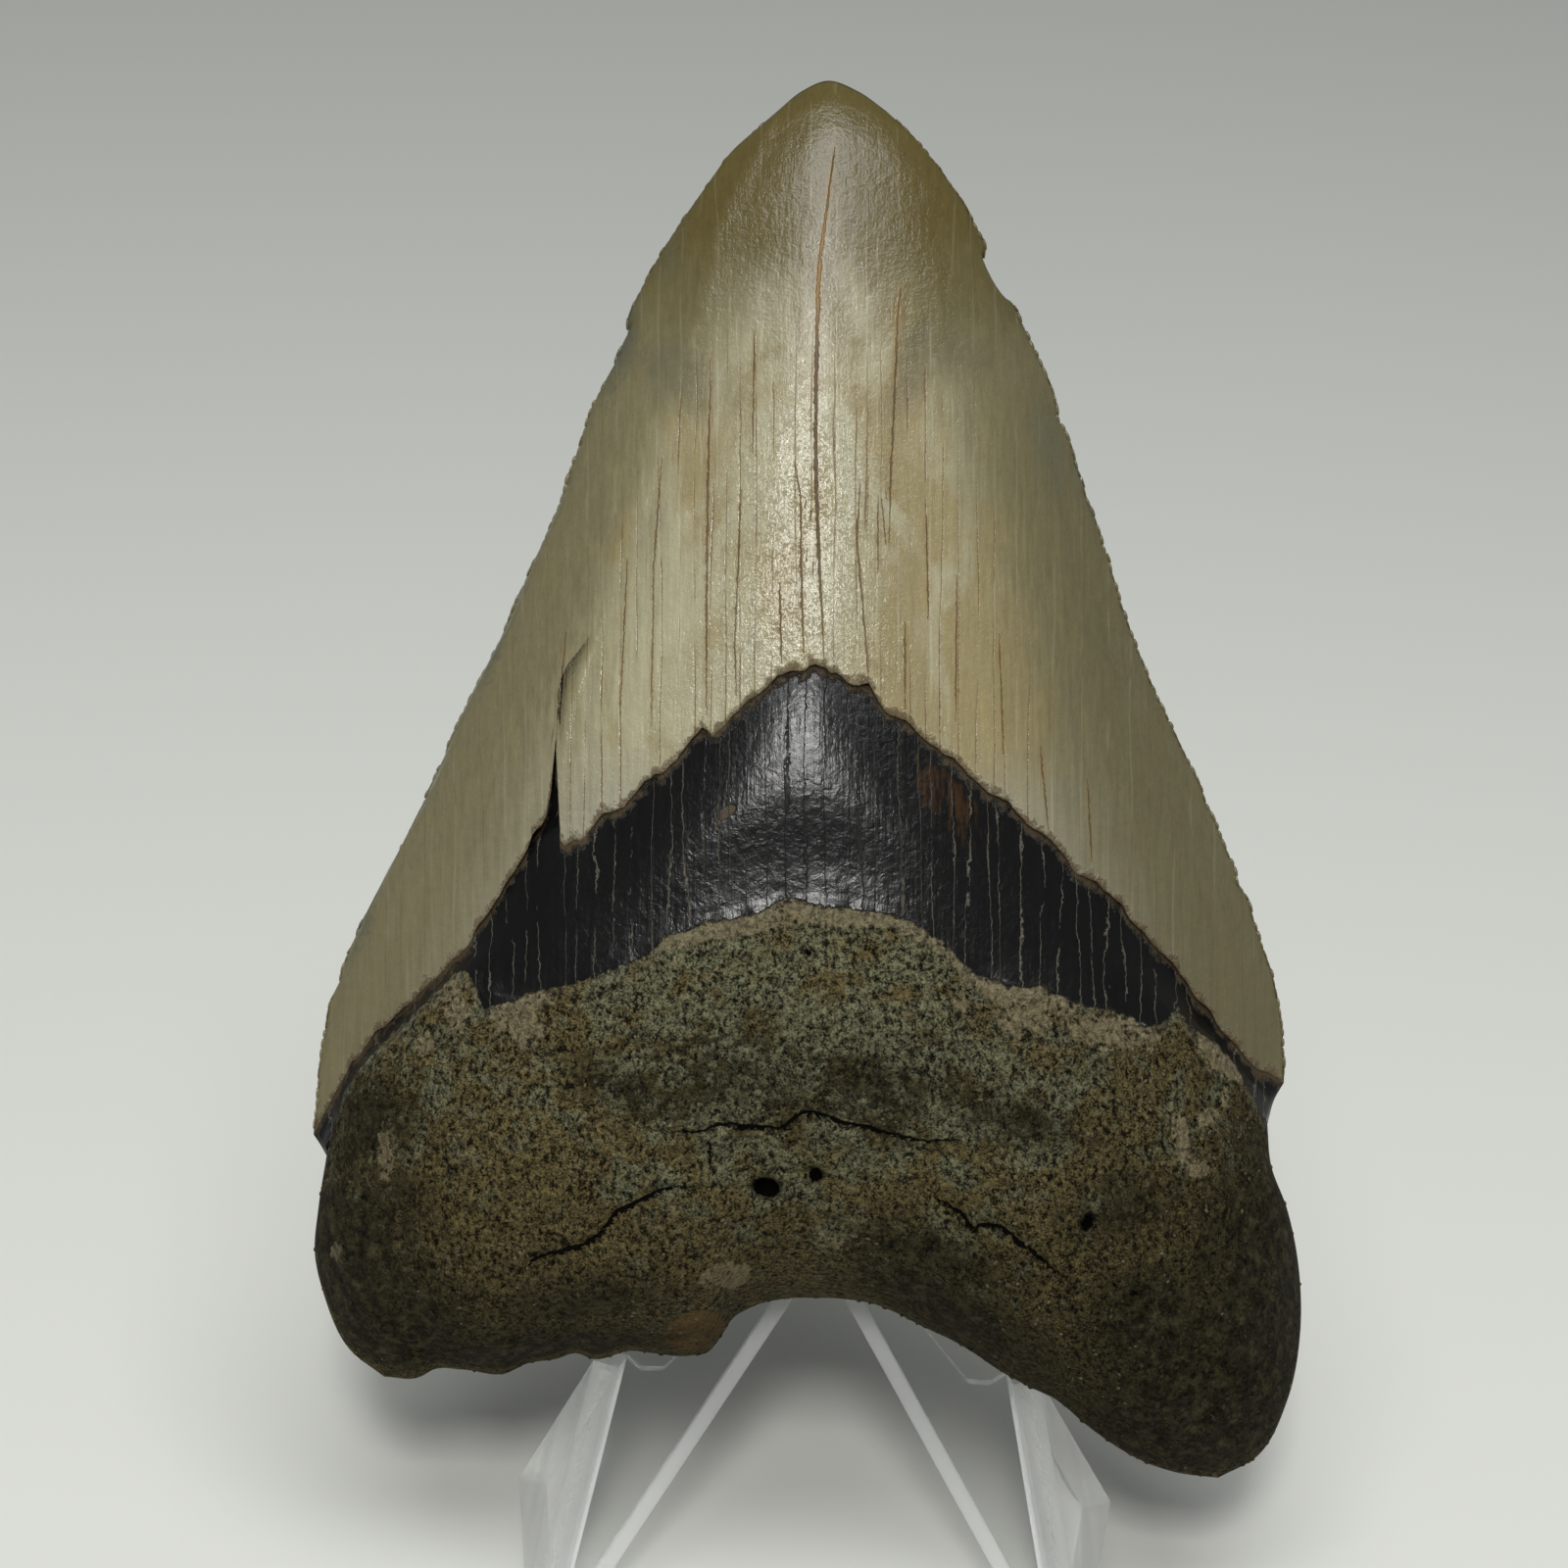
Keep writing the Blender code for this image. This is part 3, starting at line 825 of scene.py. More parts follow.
class SurfaceBench(Bench):
    """Builds a material whose shader is Principled."""

    def __init__(self, name: str) -> None:
        """Starts an empty material."""
        self.material = bpy.data.materials.new(name)
        self.material.use_nodes = True
        super().__init__(self.material.node_tree)
        self.shader = self.tree.nodes["Principled BSDF"]

    def place(self) -> bpy.types.NodeSocket:
        """Where each point lies on the piece."""
        return self.node("ShaderNodeTexCoord").outputs["Object"]

    def attribute(self, name: str) -> bpy.types.NodeSocket:
        """The vector that the survey stored under this name."""
        return self.node("ShaderNodeAttribute", {"attribute_name": name}).outputs["Vector"]

    def parts(self, vector: bpy.types.NodeSocket) -> tuple[Value, Value, Value]:
        """The three numbers of a vector."""
        split = self.node("ShaderNodeSeparateXYZ", None, {0: vector})
        return tuple(Value(self, socket) for socket in split.outputs)

    def surveyed(self, name: str) -> tuple[Value, Value, Value]:
        """The three numbers that the survey stored under this name."""
        return self.parts(self.attribute(name))

    def stretched(self, vector: object, scale: Triple) -> bpy.types.NodeSocket:
        """A vector scaled along each of its three directions."""
        return self.node("ShaderNodeMapping", None, {"Vector": vector, "Scale": scale}).outputs[0]

    def grain(self, vector: object, scale: float, detail: float = 3.0, roughness: float = 0.55,
              distortion: float = 0.0) -> Value:
        """Soft noise around 0.5.

        Args:
            vector: Where to read it.
            scale: How many features come in a unit of the vector.
            detail: How many finer layers it has.
            roughness: How strong they are.
            distortion: How much it is stirred.

        Returns:
            The noise.
        """
        inputs = {
            "Vector": vector, "Scale": scale, "Detail": detail, "Roughness": roughness,
            "Distortion": distortion,
        }
        return self.value("ShaderNodeTexNoise", None, inputs)

    def cells(self, vector: object, scale: float) -> Value:
        """Distance to the nearest of scattered points."""
        return self.value("ShaderNodeTexVoronoi", None, {"Vector": vector, "Scale": scale}, "Distance")

    def lines(self, across: Value, pitch: float) -> Value:
        """Distance in millimetres to the nearest of some lines that are about a pitch apart."""
        settings = {"voronoi_dimensions": "1D", "feature": "DISTANCE_TO_EDGE"}
        inputs = {"W": across / pitch, "Scale": 1.0}
        return self.value("ShaderNodeTexVoronoi", settings, inputs, "Distance") * pitch

    def mix(self, mask: object, below: object, above: object, blend: str = "MIX") -> bpy.types.NodeSocket:
        """A colour between two others.

        Args:
            mask: Where the second one shows.
            below: The first colour.
            above: The second colour.
            blend: How the second one is laid over the first.

        Returns:
            The colour's socket.
        """
        settings = {"data_type": "RGBA", "blend_type": blend}
        return self.node("ShaderNodeMix", settings, {0: mask, 6: below, 7: above}).outputs[2]

    def shaded(self, colour: object, level: Value) -> bpy.types.NodeSocket:
        """A colour made lighter or darker by a level around 1."""
        gray = self.node("ShaderNodeCombineXYZ", None, {0: level, 1: level, 2: level}).outputs[0]
        return self.mix(1.0, colour, gray, "MULTIPLY")

    def finish(self, colour: object, roughness: object, height: Value | None = None,
               **constants: float) -> bpy.types.Material:
        """Feeds the shader.

        Args:
            colour: Base colour.
            roughness: Roughness.
            height: Fine relief in millimetres.
            constants: Other sockets of the shader, with _ for a blank.

        Returns:
            The material.
        """
        self.feed(self.shader.inputs["Base Color"], colour)
        self.feed(self.shader.inputs["Roughness"], roughness)
        if height is not None:
            inputs = {"Height": height, "Distance": MM, "Strength": 1.0}
            self.feed(self.shader.inputs["Normal"], self.node("ShaderNodeBump", None, inputs).outputs[0])
        for name, constant in constants.items():
            self.shader.inputs[name.replace("_", " ")].default_value = constant
        return self.material


@dataclass(frozen=True)
class EnamelFinish:
    """Polished olive and beige enamel with upright streaks and stained cracks."""

    centre: Colour = paint(160, 155, 127)
    warm: Colour = paint(141, 129, 93)
    margin: Colour = paint(110, 104, 76)
    tip: Colour = paint(85, 74, 36)
    gray: Colour = paint(86, 87, 72)
    base: Colour = paint(146, 143, 126)
    golden: Colour = paint(138, 106, 58)
    brown: Colour = paint(74, 54, 28)
    fine: Colour = paint(104, 81, 47)
    pale: Colour = paint(200, 195, 174)
    lip: Colour = paint(96, 76, 48)
    soil: Colour = paint(98, 90, 62)

    def make(self) -> bpy.types.Material:
        """Builds the material."""
        bench = SurfaceBench("polished_enamel")
        seen = bench.attribute("seen")
        x, d, _ = bench.parts(seen)
        edge, below_enamel, _ = bench.surveyed("zones")
        apart, half, close = bench.surveyed("cracks")
        cloudy, facet, _ = bench.surveyed("stains")
        upright = bench.stretched(seen, (1.0, 0.045, 0.4))
        streaks = bench.grain(upright, 2.4, 4.0, 0.6)
        hairs = bench.grain(upright, 7.0, 2.0, 0.5)
        clouds = bench.grain(bench.stretched(seen, (1.0, 0.5, 1.0)), 0.16, 4.0, 0.6, 0.6)
        mottle = bench.grain(seen, 1.1, 4.0, 0.65)
        specks = bench.grain(seen, 4.0, 3.0, 0.6)
        warmth = (clouds + x.rise(-2.0, 18.0) * 0.14).rise(0.42, 0.66)
        colour = bench.mix(warmth, self.centre, self.warm)
        colour = bench.mix((d + clouds * 10).rise(84.0, 74.0) * 0.8, colour, self.base)
        reach = 9.0 + d.rise(95.0, 60.0) * 4.5 + x.rise(4.0, 20.0) * 3.0
        inside = (edge + clouds * 9 + streaks * 3 - 6.0) / reach
        in_margin = inside.rise(1.25, 0.3)
        colour = bench.mix(in_margin * 0.95, colour, self.margin)
        colour = bench.mix((d + clouds * 16).rise(112.0, 130.0) * 0.9, colour, self.tip)
        colour = bench.shaded(colour, 1.0 - x.rise(8.0, 26.0) * in_margin * 0.24)
        cloud = (cloudy + (clouds - 0.5) * 3.0 + (streaks - 0.5) * 0.8).rise(0.0, 0.9)
        colour = bench.mix(cloud * 0.45, colour, self.gray)
        colour = bench.mix((facet + (mottle - 0.5) * 2.4).rise(0.2, 0.8) * 0.55, colour, self.gray)
        colour = bench.shaded(colour, 0.68 + streaks * 0.44 + hairs * 0.22)
        colour = bench.shaded(colour, 0.8 + mottle * 0.22 + specks * 0.2)
        middle = in_margin.rise(0.95, 0.2).most(0.3)
        fine = bench.lines(x + bench.grain(upright, 0.5) * 1.4 + (specks - 0.5) * 0.12, 1.5)
        broken = bench.grain(bench.stretched(seen, (1.0, 0.12, 1.0)), 0.5, 2.0).rise(0.43, 0.55)
        hairline = (fine + specks * 0.06).rise(0.12, 0.04) * broken * middle * d.rise(116.0, 104.0)
        colour = bench.mix(hairline * 0.9, colour, self.fine)
        light = bench.lines(x + bench.grain(upright, 0.6) * 1.1 + 0.7, 1.9)
        light = light.rise(0.12, 0.02) * (1 - broken) * middle
        colour = bench.mix(light * 0.22, colour, self.pale)
        knots = bench.grain(bench.stretched(seen, (1.0, 0.8, 1.0)), 1.3, 3.0, 0.7)
        wander = (mottle - 0.5) * 0.22 + (specks - 0.5) * 0.26
        gap = abs(apart + wander) - half * (knots * 1.8 - 0.3)
        crack = gap.rise(0.05, -0.05) * close.rise(0.2, 0.6) * (knots + half * 2.0).rise(0.36, 0.5)
        halo = gap.rise(0.45, 0.0) * close.rise(0.2, 0.6) * mottle.rise(0.35, 0.6)
        stain = bench.mix((d + clouds * 8).rise(112.0, 120.0), self.brown, self.golden)
        stain = bench.shaded(stain, 0.55 + specks * 0.9)
        colour = bench.mix(halo * 0.4, colour, self.golden)
        colour = bench.mix(crack * (0.55 + half * 2.2).least(0.95), colour, stain)
        worn = abs(x - 0.5).rise(15.0, 6.0) * d.rise(72.0, 82.0) * d.rise(114.0, 100.0)
        dirt = (specks + (mottle - 0.5) * 0.7).rise(0.55, 0.66) * worn
        colour = bench.mix(dirt * 0.35, colour, self.soil)
        lip = (below_enamel + (mottle - 0.5) * 3.2).rise(-0.75, -0.1) * specks.rise(0.3, 0.5)
        colour = bench.mix(lip * 0.85, colour, bench.shaded(self.lip, 0.2 + specks * 1.5))
        height = streaks * 0.03 + hairs * 0.012 + mottle * 0.085 + specks * 0.03 - dirt * 0.03
        height = height - crack * 0.1 - hairline * 0.02
        height = height + lip * bench.grain(seen, 3.0, 4.0) * 0.25
        roughness = 0.02 + mottle * 0.16 + specks * 0.18 + dirt * 0.3 + crack * 0.4 + lip * 0.3
        return bench.finish(colour, roughness, height, IOR=1.5)


@dataclass(frozen=True)
class DentineFinish:
    """Near-black glossy band with pale cracks, over a granular gray-brown root with tan crust.

    The band and the root are two materials from the same nodes, because the dull root reflects less.
    """

    band: Colour = paint(14, 14, 14)
    amber: Colour = paint(74, 49, 21)
    glaze: Colour = paint(108, 84, 50)
    pale: Colour = paint(112, 106, 92)
    root: Colour = paint(96, 95, 73)
    earth: Colour = paint(84, 75, 48)
    tan: Colour = paint(138, 122, 84)
    crust: Colour = paint(142, 131, 101)
    charcoal: Colour = paint(36, 33, 21)
    # crack is the near-black of the cracks, and is also laid into the sand's low spots as painted shade.
    crack: Colour = paint(12, 10, 7)
    rim: Colour = paint(76, 62, 38)

    def make(self, name: str, gloss: float) -> bpy.types.Material:
        """Builds the material.

        Args:
            name: The material's name.
            gloss: Its index of refraction.

        Returns:
            The material.
        """
        bench = SurfaceBench(name)
        seen = bench.attribute("seen")
        x, _, _ = bench.parts(seen)
        _, below_enamel, below_root = bench.surveyed("zones")
        apart, half, close = bench.surveyed("cracks")
        crusty, burnt, warm = bench.surveyed("stains")
        coarse = bench.grain(seen, 0.35, 4.0, 0.6)
        middle = bench.grain(seen, 1.2, 5.0, 0.65)
        sand = bench.grain(bench.stretched(seen, (1.0, 0.72, 1.0)), 2.3, 4.0, 0.62, 0.4)
        in_root = (below_root + (middle - 0.5) * 1.6).rise(-0.15, 0.15)
        chip = crusty.rise(0.55, 0.75) * below_root.rise(-3.0, -5.0)
        band, band_height, band_rough = self._band(bench, seen, x, middle, below_enamel, warm, chip)
        root, root_height = self._root(bench, seen, coarse, middle, sand, crusty, burnt, warm, below_root)
        colour = bench.mix(in_root, band, root)
        ragged = bench.grain(seen, 2.6, 3.0, 0.7)
        wander = (middle - 0.5) * 0.9 + (ragged - 0.5) * 0.6
        knots = 1.0 + (middle + ragged - 1.0) * (0.5 + half.rise(0.6, 0.4) * 2.2)
        gap = abs(apart + wander * half.rise(0.5, 0.3)) - half * knots
        crack = gap.rise(0.05, -0.03) * close.rise(0.2, 0.6)
        colour = bench.mix(crack, colour, self.crack)
        height = root_height * in_root + band_height * (1 - in_root) - crack * 0.5
        stony = 0.7 + sand * 0.25 - burnt.rise(0.2, 0.9) * 0.15
        roughness = band_rough * (1 - in_root) + in_root * stony
        return bench.finish(colour, roughness.most(crack * 0.9), height, IOR=gloss)

    def _band(self, bench: SurfaceBench, seen: object, x: Value, middle: Value, below_enamel: Value,
              warm: Value, chip: Value) -> tuple[bpy.types.NodeSocket, Value, Value]:
        """The glossy band.

        Args:
            bench: The material's bench.
            seen: Where each point looks to lie.
            x: The first number of that.
            middle: Noise of middling size.
            below_enamel: How far below the enamel's border each point is.
            warm: Strength of the see-through amber patches.
            chip: Where its glaze has flaked off.

        Returns:
            Its colour, its fine relief and its roughness.
        """
        upright = bench.stretched(seen, (1.0, 0.06, 0.4))
        streaks = bench.grain(upright, 2.2, 3.0)
        glow = (warm + (middle - 0.5) * 2.0 + (streaks - 0.5) * 1.6).rise(0.1, 1.0)
        colour = bench.mix(glow * streaks.rise(0.42, 0.6) * 0.4, self.band, self.amber)
        colour = bench.shaded(colour, 0.55 + streaks * 0.9)
        sway = bench.grain(upright, 0.5) * 2.6 + (middle - 0.5) * 0.7
        line = bench.lines(x + sway, 1.5)
        gaps = bench.grain(bench.stretched(seen, (1.0, 0.3, 1.0)), 0.5, 3.0).rise(0.38, 0.5)
        line = (line + middle * 0.06).rise(0.1, 0.04) * gaps
        colour = bench.mix(line * abs(x - 1.0).rise(2.0, 11.0) * 0.6, colour, self.pale)
        colour = bench.mix(chip * 0.85, colour, bench.shaded(self.rim, 0.1 + middle))
        rim = (below_enamel + (middle - 0.5) * 3.4).rise(1.0, 0.1)
        colour = bench.mix(rim * 0.8, colour, bench.shaded(self.rim, 0.3 + middle * 1.3))
        leather = bench.grain(seen, 1.3, 4.0, 0.6, 0.5)
        height = leather * 0.055 + streaks * 0.03 - line * 0.06 + rim * middle * 0.35 - chip * 0.1
        return colour, height, 0.13 + middle * 0.2 + line * 0.4 + rim * 0.4 + chip * 0.3

    def _root(self, bench: SurfaceBench, seen: object, coarse: Value, middle: Value, sand: Value,
              crusty: Value, burnt: Value, warm: Value,
              below_root: Value) -> tuple[bpy.types.NodeSocket, Value]:
        """The granular root, with painted shade towards its bottom and in its pits, and painted light on its
        grains and charcoal knobs.

        Args:
            bench: The material's bench.
            seen: Where each point looks to lie.
            coarse: Noise of large size.
            middle: Noise of middling size.
            sand: Noise of the size of sand grains.
            crusty: Strength of the tan crust patches.
            burnt: Strength of the charcoal patches.
            warm: Strength of the glazed brown patches.
            below_root: How far below the root's border each point is.

        Returns:
            Its colour and its fine relief.
        """
        x, d, _ = bench.parts(seen)
        earthy = (coarse + abs(x - 2.0).rise(12.0, 26.0) * 0.1 + d.rise(46.0, 30.0) * 0.16).rise(0.46, 0.64)
        colour = bench.mix(earthy, self.root, self.earth)
        # Darker towards the bottom and towards the right; the darkening towards the bottom is painted shade
        # where the root turns under, away from the light.
        lower = d.rise(40.0, 24.0) * 0.3 + x.rise(4.0, 30.0) * 0.18
        colour = bench.shaded(colour, 0.5 + coarse * 1.0 - lower)
        # The grain's tone follows the same noise that raises its relief: the sand's high spots are lighter,
        # the cells' centres darker and its low spots (deep) near-black. This is partly the grain's own light
        # and dark tone, partly painted light on the grains and painted shade in the pits.
        pits = bench.cells(seen, 1.5)
        fine = bench.grain(seen, 5.5, 3.0, 0.7)
        grain_tone_and_light = (sand + (fine - 0.5) * 0.9).rise(0.3, 0.74)
        deep = (sand + (middle - 0.5) * 1.0).rise(0.4, 0.28)
        colour = bench.shaded(colour, (grain_tone_and_light * 2.1 + pits * 0.2) * (0.25 + middle * 1.5))
        colour = bench.mix(deep * 0.5, colour, self.crack)
        speckle = (fine + (coarse - 0.5) * 1.0 + (middle - 0.5) * 1.2).rise(0.62, 0.8)
        colour = bench.mix(speckle * 0.55, colour, self.tan)
        glazed = (warm + (middle - 0.5) * 1.0).rise(0.0, 0.3)
        colour = bench.mix(glazed * 0.75, colour, bench.shaded(self.glaze, 0.5 + middle))
        dark = (burnt + (coarse - 0.5) * 1.8 + (middle - 0.5) * 2.2).rise(-0.25, 0.6)
        # The charcoal is lit up where the crags rise and left dark between them, by the same noise that
        # raises their relief: painted light on the knobs and painted shade in the hollows, over the grain's
        # own tone.
        crags = bench.grain(seen, 0.75, 5.0, 0.75).rise(0.42, 0.64)
        lit_knobs_and_grain = 0.1 + grain_tone_and_light * 1.0 + crags * 3.6
        colour = bench.mix(dark * 0.9, colour, bench.shaded(self.charcoal, lit_knobs_and_grain))
        line = below_root.rise(2.0, 1.1) * (0.35 + abs(x - 2.0).rise(18.0, 12.0) * 0.5)
        crust = (crusty + line + (middle - 0.5) * 2.0 + (sand - 0.5) * 1.0).rise(0.25, 0.6)
        colour = bench.mix(crust * 0.85, colour, bench.shaded(self.crust, 0.5 + grain_tone_and_light * 0.6))
        height = middle * 0.6 + dark * crags * 0.45 + sand * 0.65 + fine * 0.2 + pits * 0.15
        height = height + crust * 0.1 - deep * 0.15
        return colour, height


@dataclass(frozen=True)
class GrainFinish:
    """Loose-looking sand grains on the root, tan and dark."""

    tan: Colour = paint(96, 90, 68)
    dark: Colour = paint(46, 43, 32)

    def make(self) -> bpy.types.Material:
        """Builds the material."""
        bench = SurfaceBench("root_sand")
        seen = bench.attribute("seen")
        _, burnt, _ = bench.surveyed("stains")
        tint = bench.grain(seen, 2.2, 2.0)
        colour = bench.mix((tint - burnt.most(0.0) * 0.3).rise(0.42, 0.6), self.dark, self.tan)
        colour = bench.shaded(colour, 0.6 + bench.grain(seen, 6.0, 2.0) * 0.8)
        return bench.finish(colour, 0.85, bench.grain(seen, 8.0, 3.0) * 0.05, IOR=1.2)


class SheetFace(Enum):
    """The kinds of face of the stand, by the number of their material."""

    CLEAR = 0
    CUT = 1
    FOLD = 2
    HAZY = 3


@dataclass(frozen=True)
class AcrylicLook:
    """How one kind of face looks.

    The relief is the height of its scratches and crinkles in millimetres, clear is how much of the
    light that enters passes through, and alpha is how much of the surface is there at all, so that
    its shadow stays light.
    """

    name: str
    roughness: float
    relief: float
    clear: float
    alpha: float


@dataclass(frozen=True)
class AcrylicFinish:
    """Clear acrylic sheet, polished on its faces and frosted where it was cut or folded."""

    colour: Colour = (0.97, 0.98, 0.975)
    looks: tuple[AcrylicLook, ...] = (
        AcrylicLook("clear_sheet", 0.04, 0.0, 1.0, 0.4),
        AcrylicLook("cut_edge", 0.2, 0.02, 0.9, 0.45),
        AcrylicLook("crinkled_fold", 0.42, 0.4, 0.35, 0.7),
        AcrylicLook("hazy_edge", 0.42, 0.05, 0.35, 0.36),
    )

    def make(self, face: SheetFace) -> bpy.types.Material:
        """Builds the material of a kind of face."""
        look = self.looks[face.value]
        bench = SurfaceBench(look.name)
        place = bench.place()
        scratches = bench.grain(bench.stretched(place, (900.0, 260.0, 260.0)), 1.0, 3.0)
        crinkles = bench.grain(place, 420.0, 3.0, 0.6, 0.6)
        return bench.finish(
            self.colour, look.roughness + scratches * 0.08, crinkles * look.relief,
            Transmission_Weight=look.clear, IOR=1.49, Alpha=look.alpha,
        )


@dataclass
class TreeBench(Bench):
    """Builds a Geometry Nodes tree with named inputs, and applies it to a mesh."""

    name: str
    values: dict[str, object] = field(default_factory=dict)

    def __post_init__(self) -> None:
        """Starts an empty tree that takes and gives a geometry."""
        super().__init__(bpy.data.node_groups.new(self.name, "GeometryNodeTree"))
        face = self.tree.interface
        face.new_socket(name="Geometry", in_out="INPUT", socket_type="NodeSocketGeometry")
        face.new_socket(name="Geometry", in_out="OUTPUT", socket_type="NodeSocketGeometry")
        self.start = None

    def ask(self, name: str, kind: str, wanted: object) -> None:
        """Adds a named input and remembers the value that this piece gives it."""
        socket = self.tree.interface.new_socket(name=name, in_out="INPUT", socket_type=kind)
        self.values[socket.identifier] = wanted

    def given(self, name: str) -> bpy.types.NodeSocket:
        """A named input, inside the tree."""
        if self.start is None:
            self.start = self.node("NodeGroupInput")
        return self.start.outputs[name]

    def ask_sizes(self, sizes: dict[str, float]) -> None:
        """Adds a named input for each size, given in millimetres."""
        for name, size in sizes.items():
            self.ask(name, "NodeSocketFloat", size * MM)

    def ask_rest(self, seed: int, finish: bpy.types.Material) -> None:
        """Adds the inputs that every tree has: its seed and its material."""
        self.ask("Seed", "NodeSocketInt", seed)
        self.ask("Finish", "NodeSocketMaterial", finish)

    def surveyed(self, name: str) -> bpy.types.NodeSocket:
        """The third number that the survey stored on the mesh under this name."""
        stored = self.node("GeometryNodeInputNamedAttribute", {"data_type": "FLOAT_VECTOR"}, {"Name": name})
        return self.node("ShaderNodeSeparateXYZ", None, {0: stored.outputs[0]}).outputs[2]

    def compared(self, operation: str, number: bpy.types.NodeSocket, limit: float) -> bpy.types.NodeSocket:
        """Whether a number is GREATER_THAN or LESS_THAN a limit."""
        return self.node("FunctionNodeCompare", {"operation": operation}, {0: number, 1: limit}).outputs[0]

    def strewn(self, points: bpy.types.NodeSocket, rotation: bpy.types.NodeSocket,
               shape: bpy.types.NodeSocket, radii: tuple[str, str, str],
               spread: tuple[Triple, Triple]) -> bpy.types.NodeSocket:
        """Sets a shape of varied size on each point.

        Args:
            points: Where they go.
            rotation: How they are turned.
            shape: A ball of radius 1.
            radii: Names of the inputs that give its three radii.
            spread: The smallest and largest share of them.

        Returns:
            The instances.
        """
        size = self.node("ShaderNodeCombineXYZ", None, {i: self.given(name) for i, name in enumerate(radii)})
        scaled = self.node("GeometryNodeTransform", None, {0: shape, "Scale": size.outputs[0]})
        inputs = {0: spread[0], 1: spread[1], "Seed": self.given("Seed")}
        vary = self.node("FunctionNodeRandomValue", {"data_type": "FLOAT_VECTOR"}, inputs)
        return self.node("GeometryNodeInstanceOnPoints", None, {
            "Points": points, "Instance": scaled.outputs[0], "Rotation": rotation, "Scale": vary.outputs[0],
        }).outputs[0]

    def apply(self, source: bpy.types.Object, result: bpy.types.NodeSocket) -> bpy.types.Object:
        """Ends the tree, runs it on a mesh and keeps the result as a plain mesh.

        Args:
            source: The object that carries the modifier; it is removed afterwards.
            result: The instances that the tree made.

        Returns:
            The new piece, under the tree's name.
        """
        real = self.node("GeometryNodeRealizeInstances", None, {0: result}).outputs[0]
        soft = self.node("GeometryNodeSetShadeSmooth", None, {0: real}).outputs[0]
        dressed = self.node("GeometryNodeSetMaterial", None, {0: soft, "Material": self.given("Finish")})
        self.node("NodeGroupOutput", None, {0: dressed.outputs[0]})
        modifier = source.modifiers.new(self.name, "NODES")
        modifier.node_group = self.tree
        for identifier, wanted in self.values.items():
            modifier[identifier] = wanted
        mesh = evaluated_mesh(source)
        mesh.name = self.name
        if mesh.materials[0] is None:
            mesh.materials.pop(index=0)
        source.modifiers.remove(modifier)
        bpy.data.objects.remove(source, do_unlink=True)
        LOG.info("%s: %d faces", self.name, len(mesh.polygons))
        return linked(self.name, mesh)


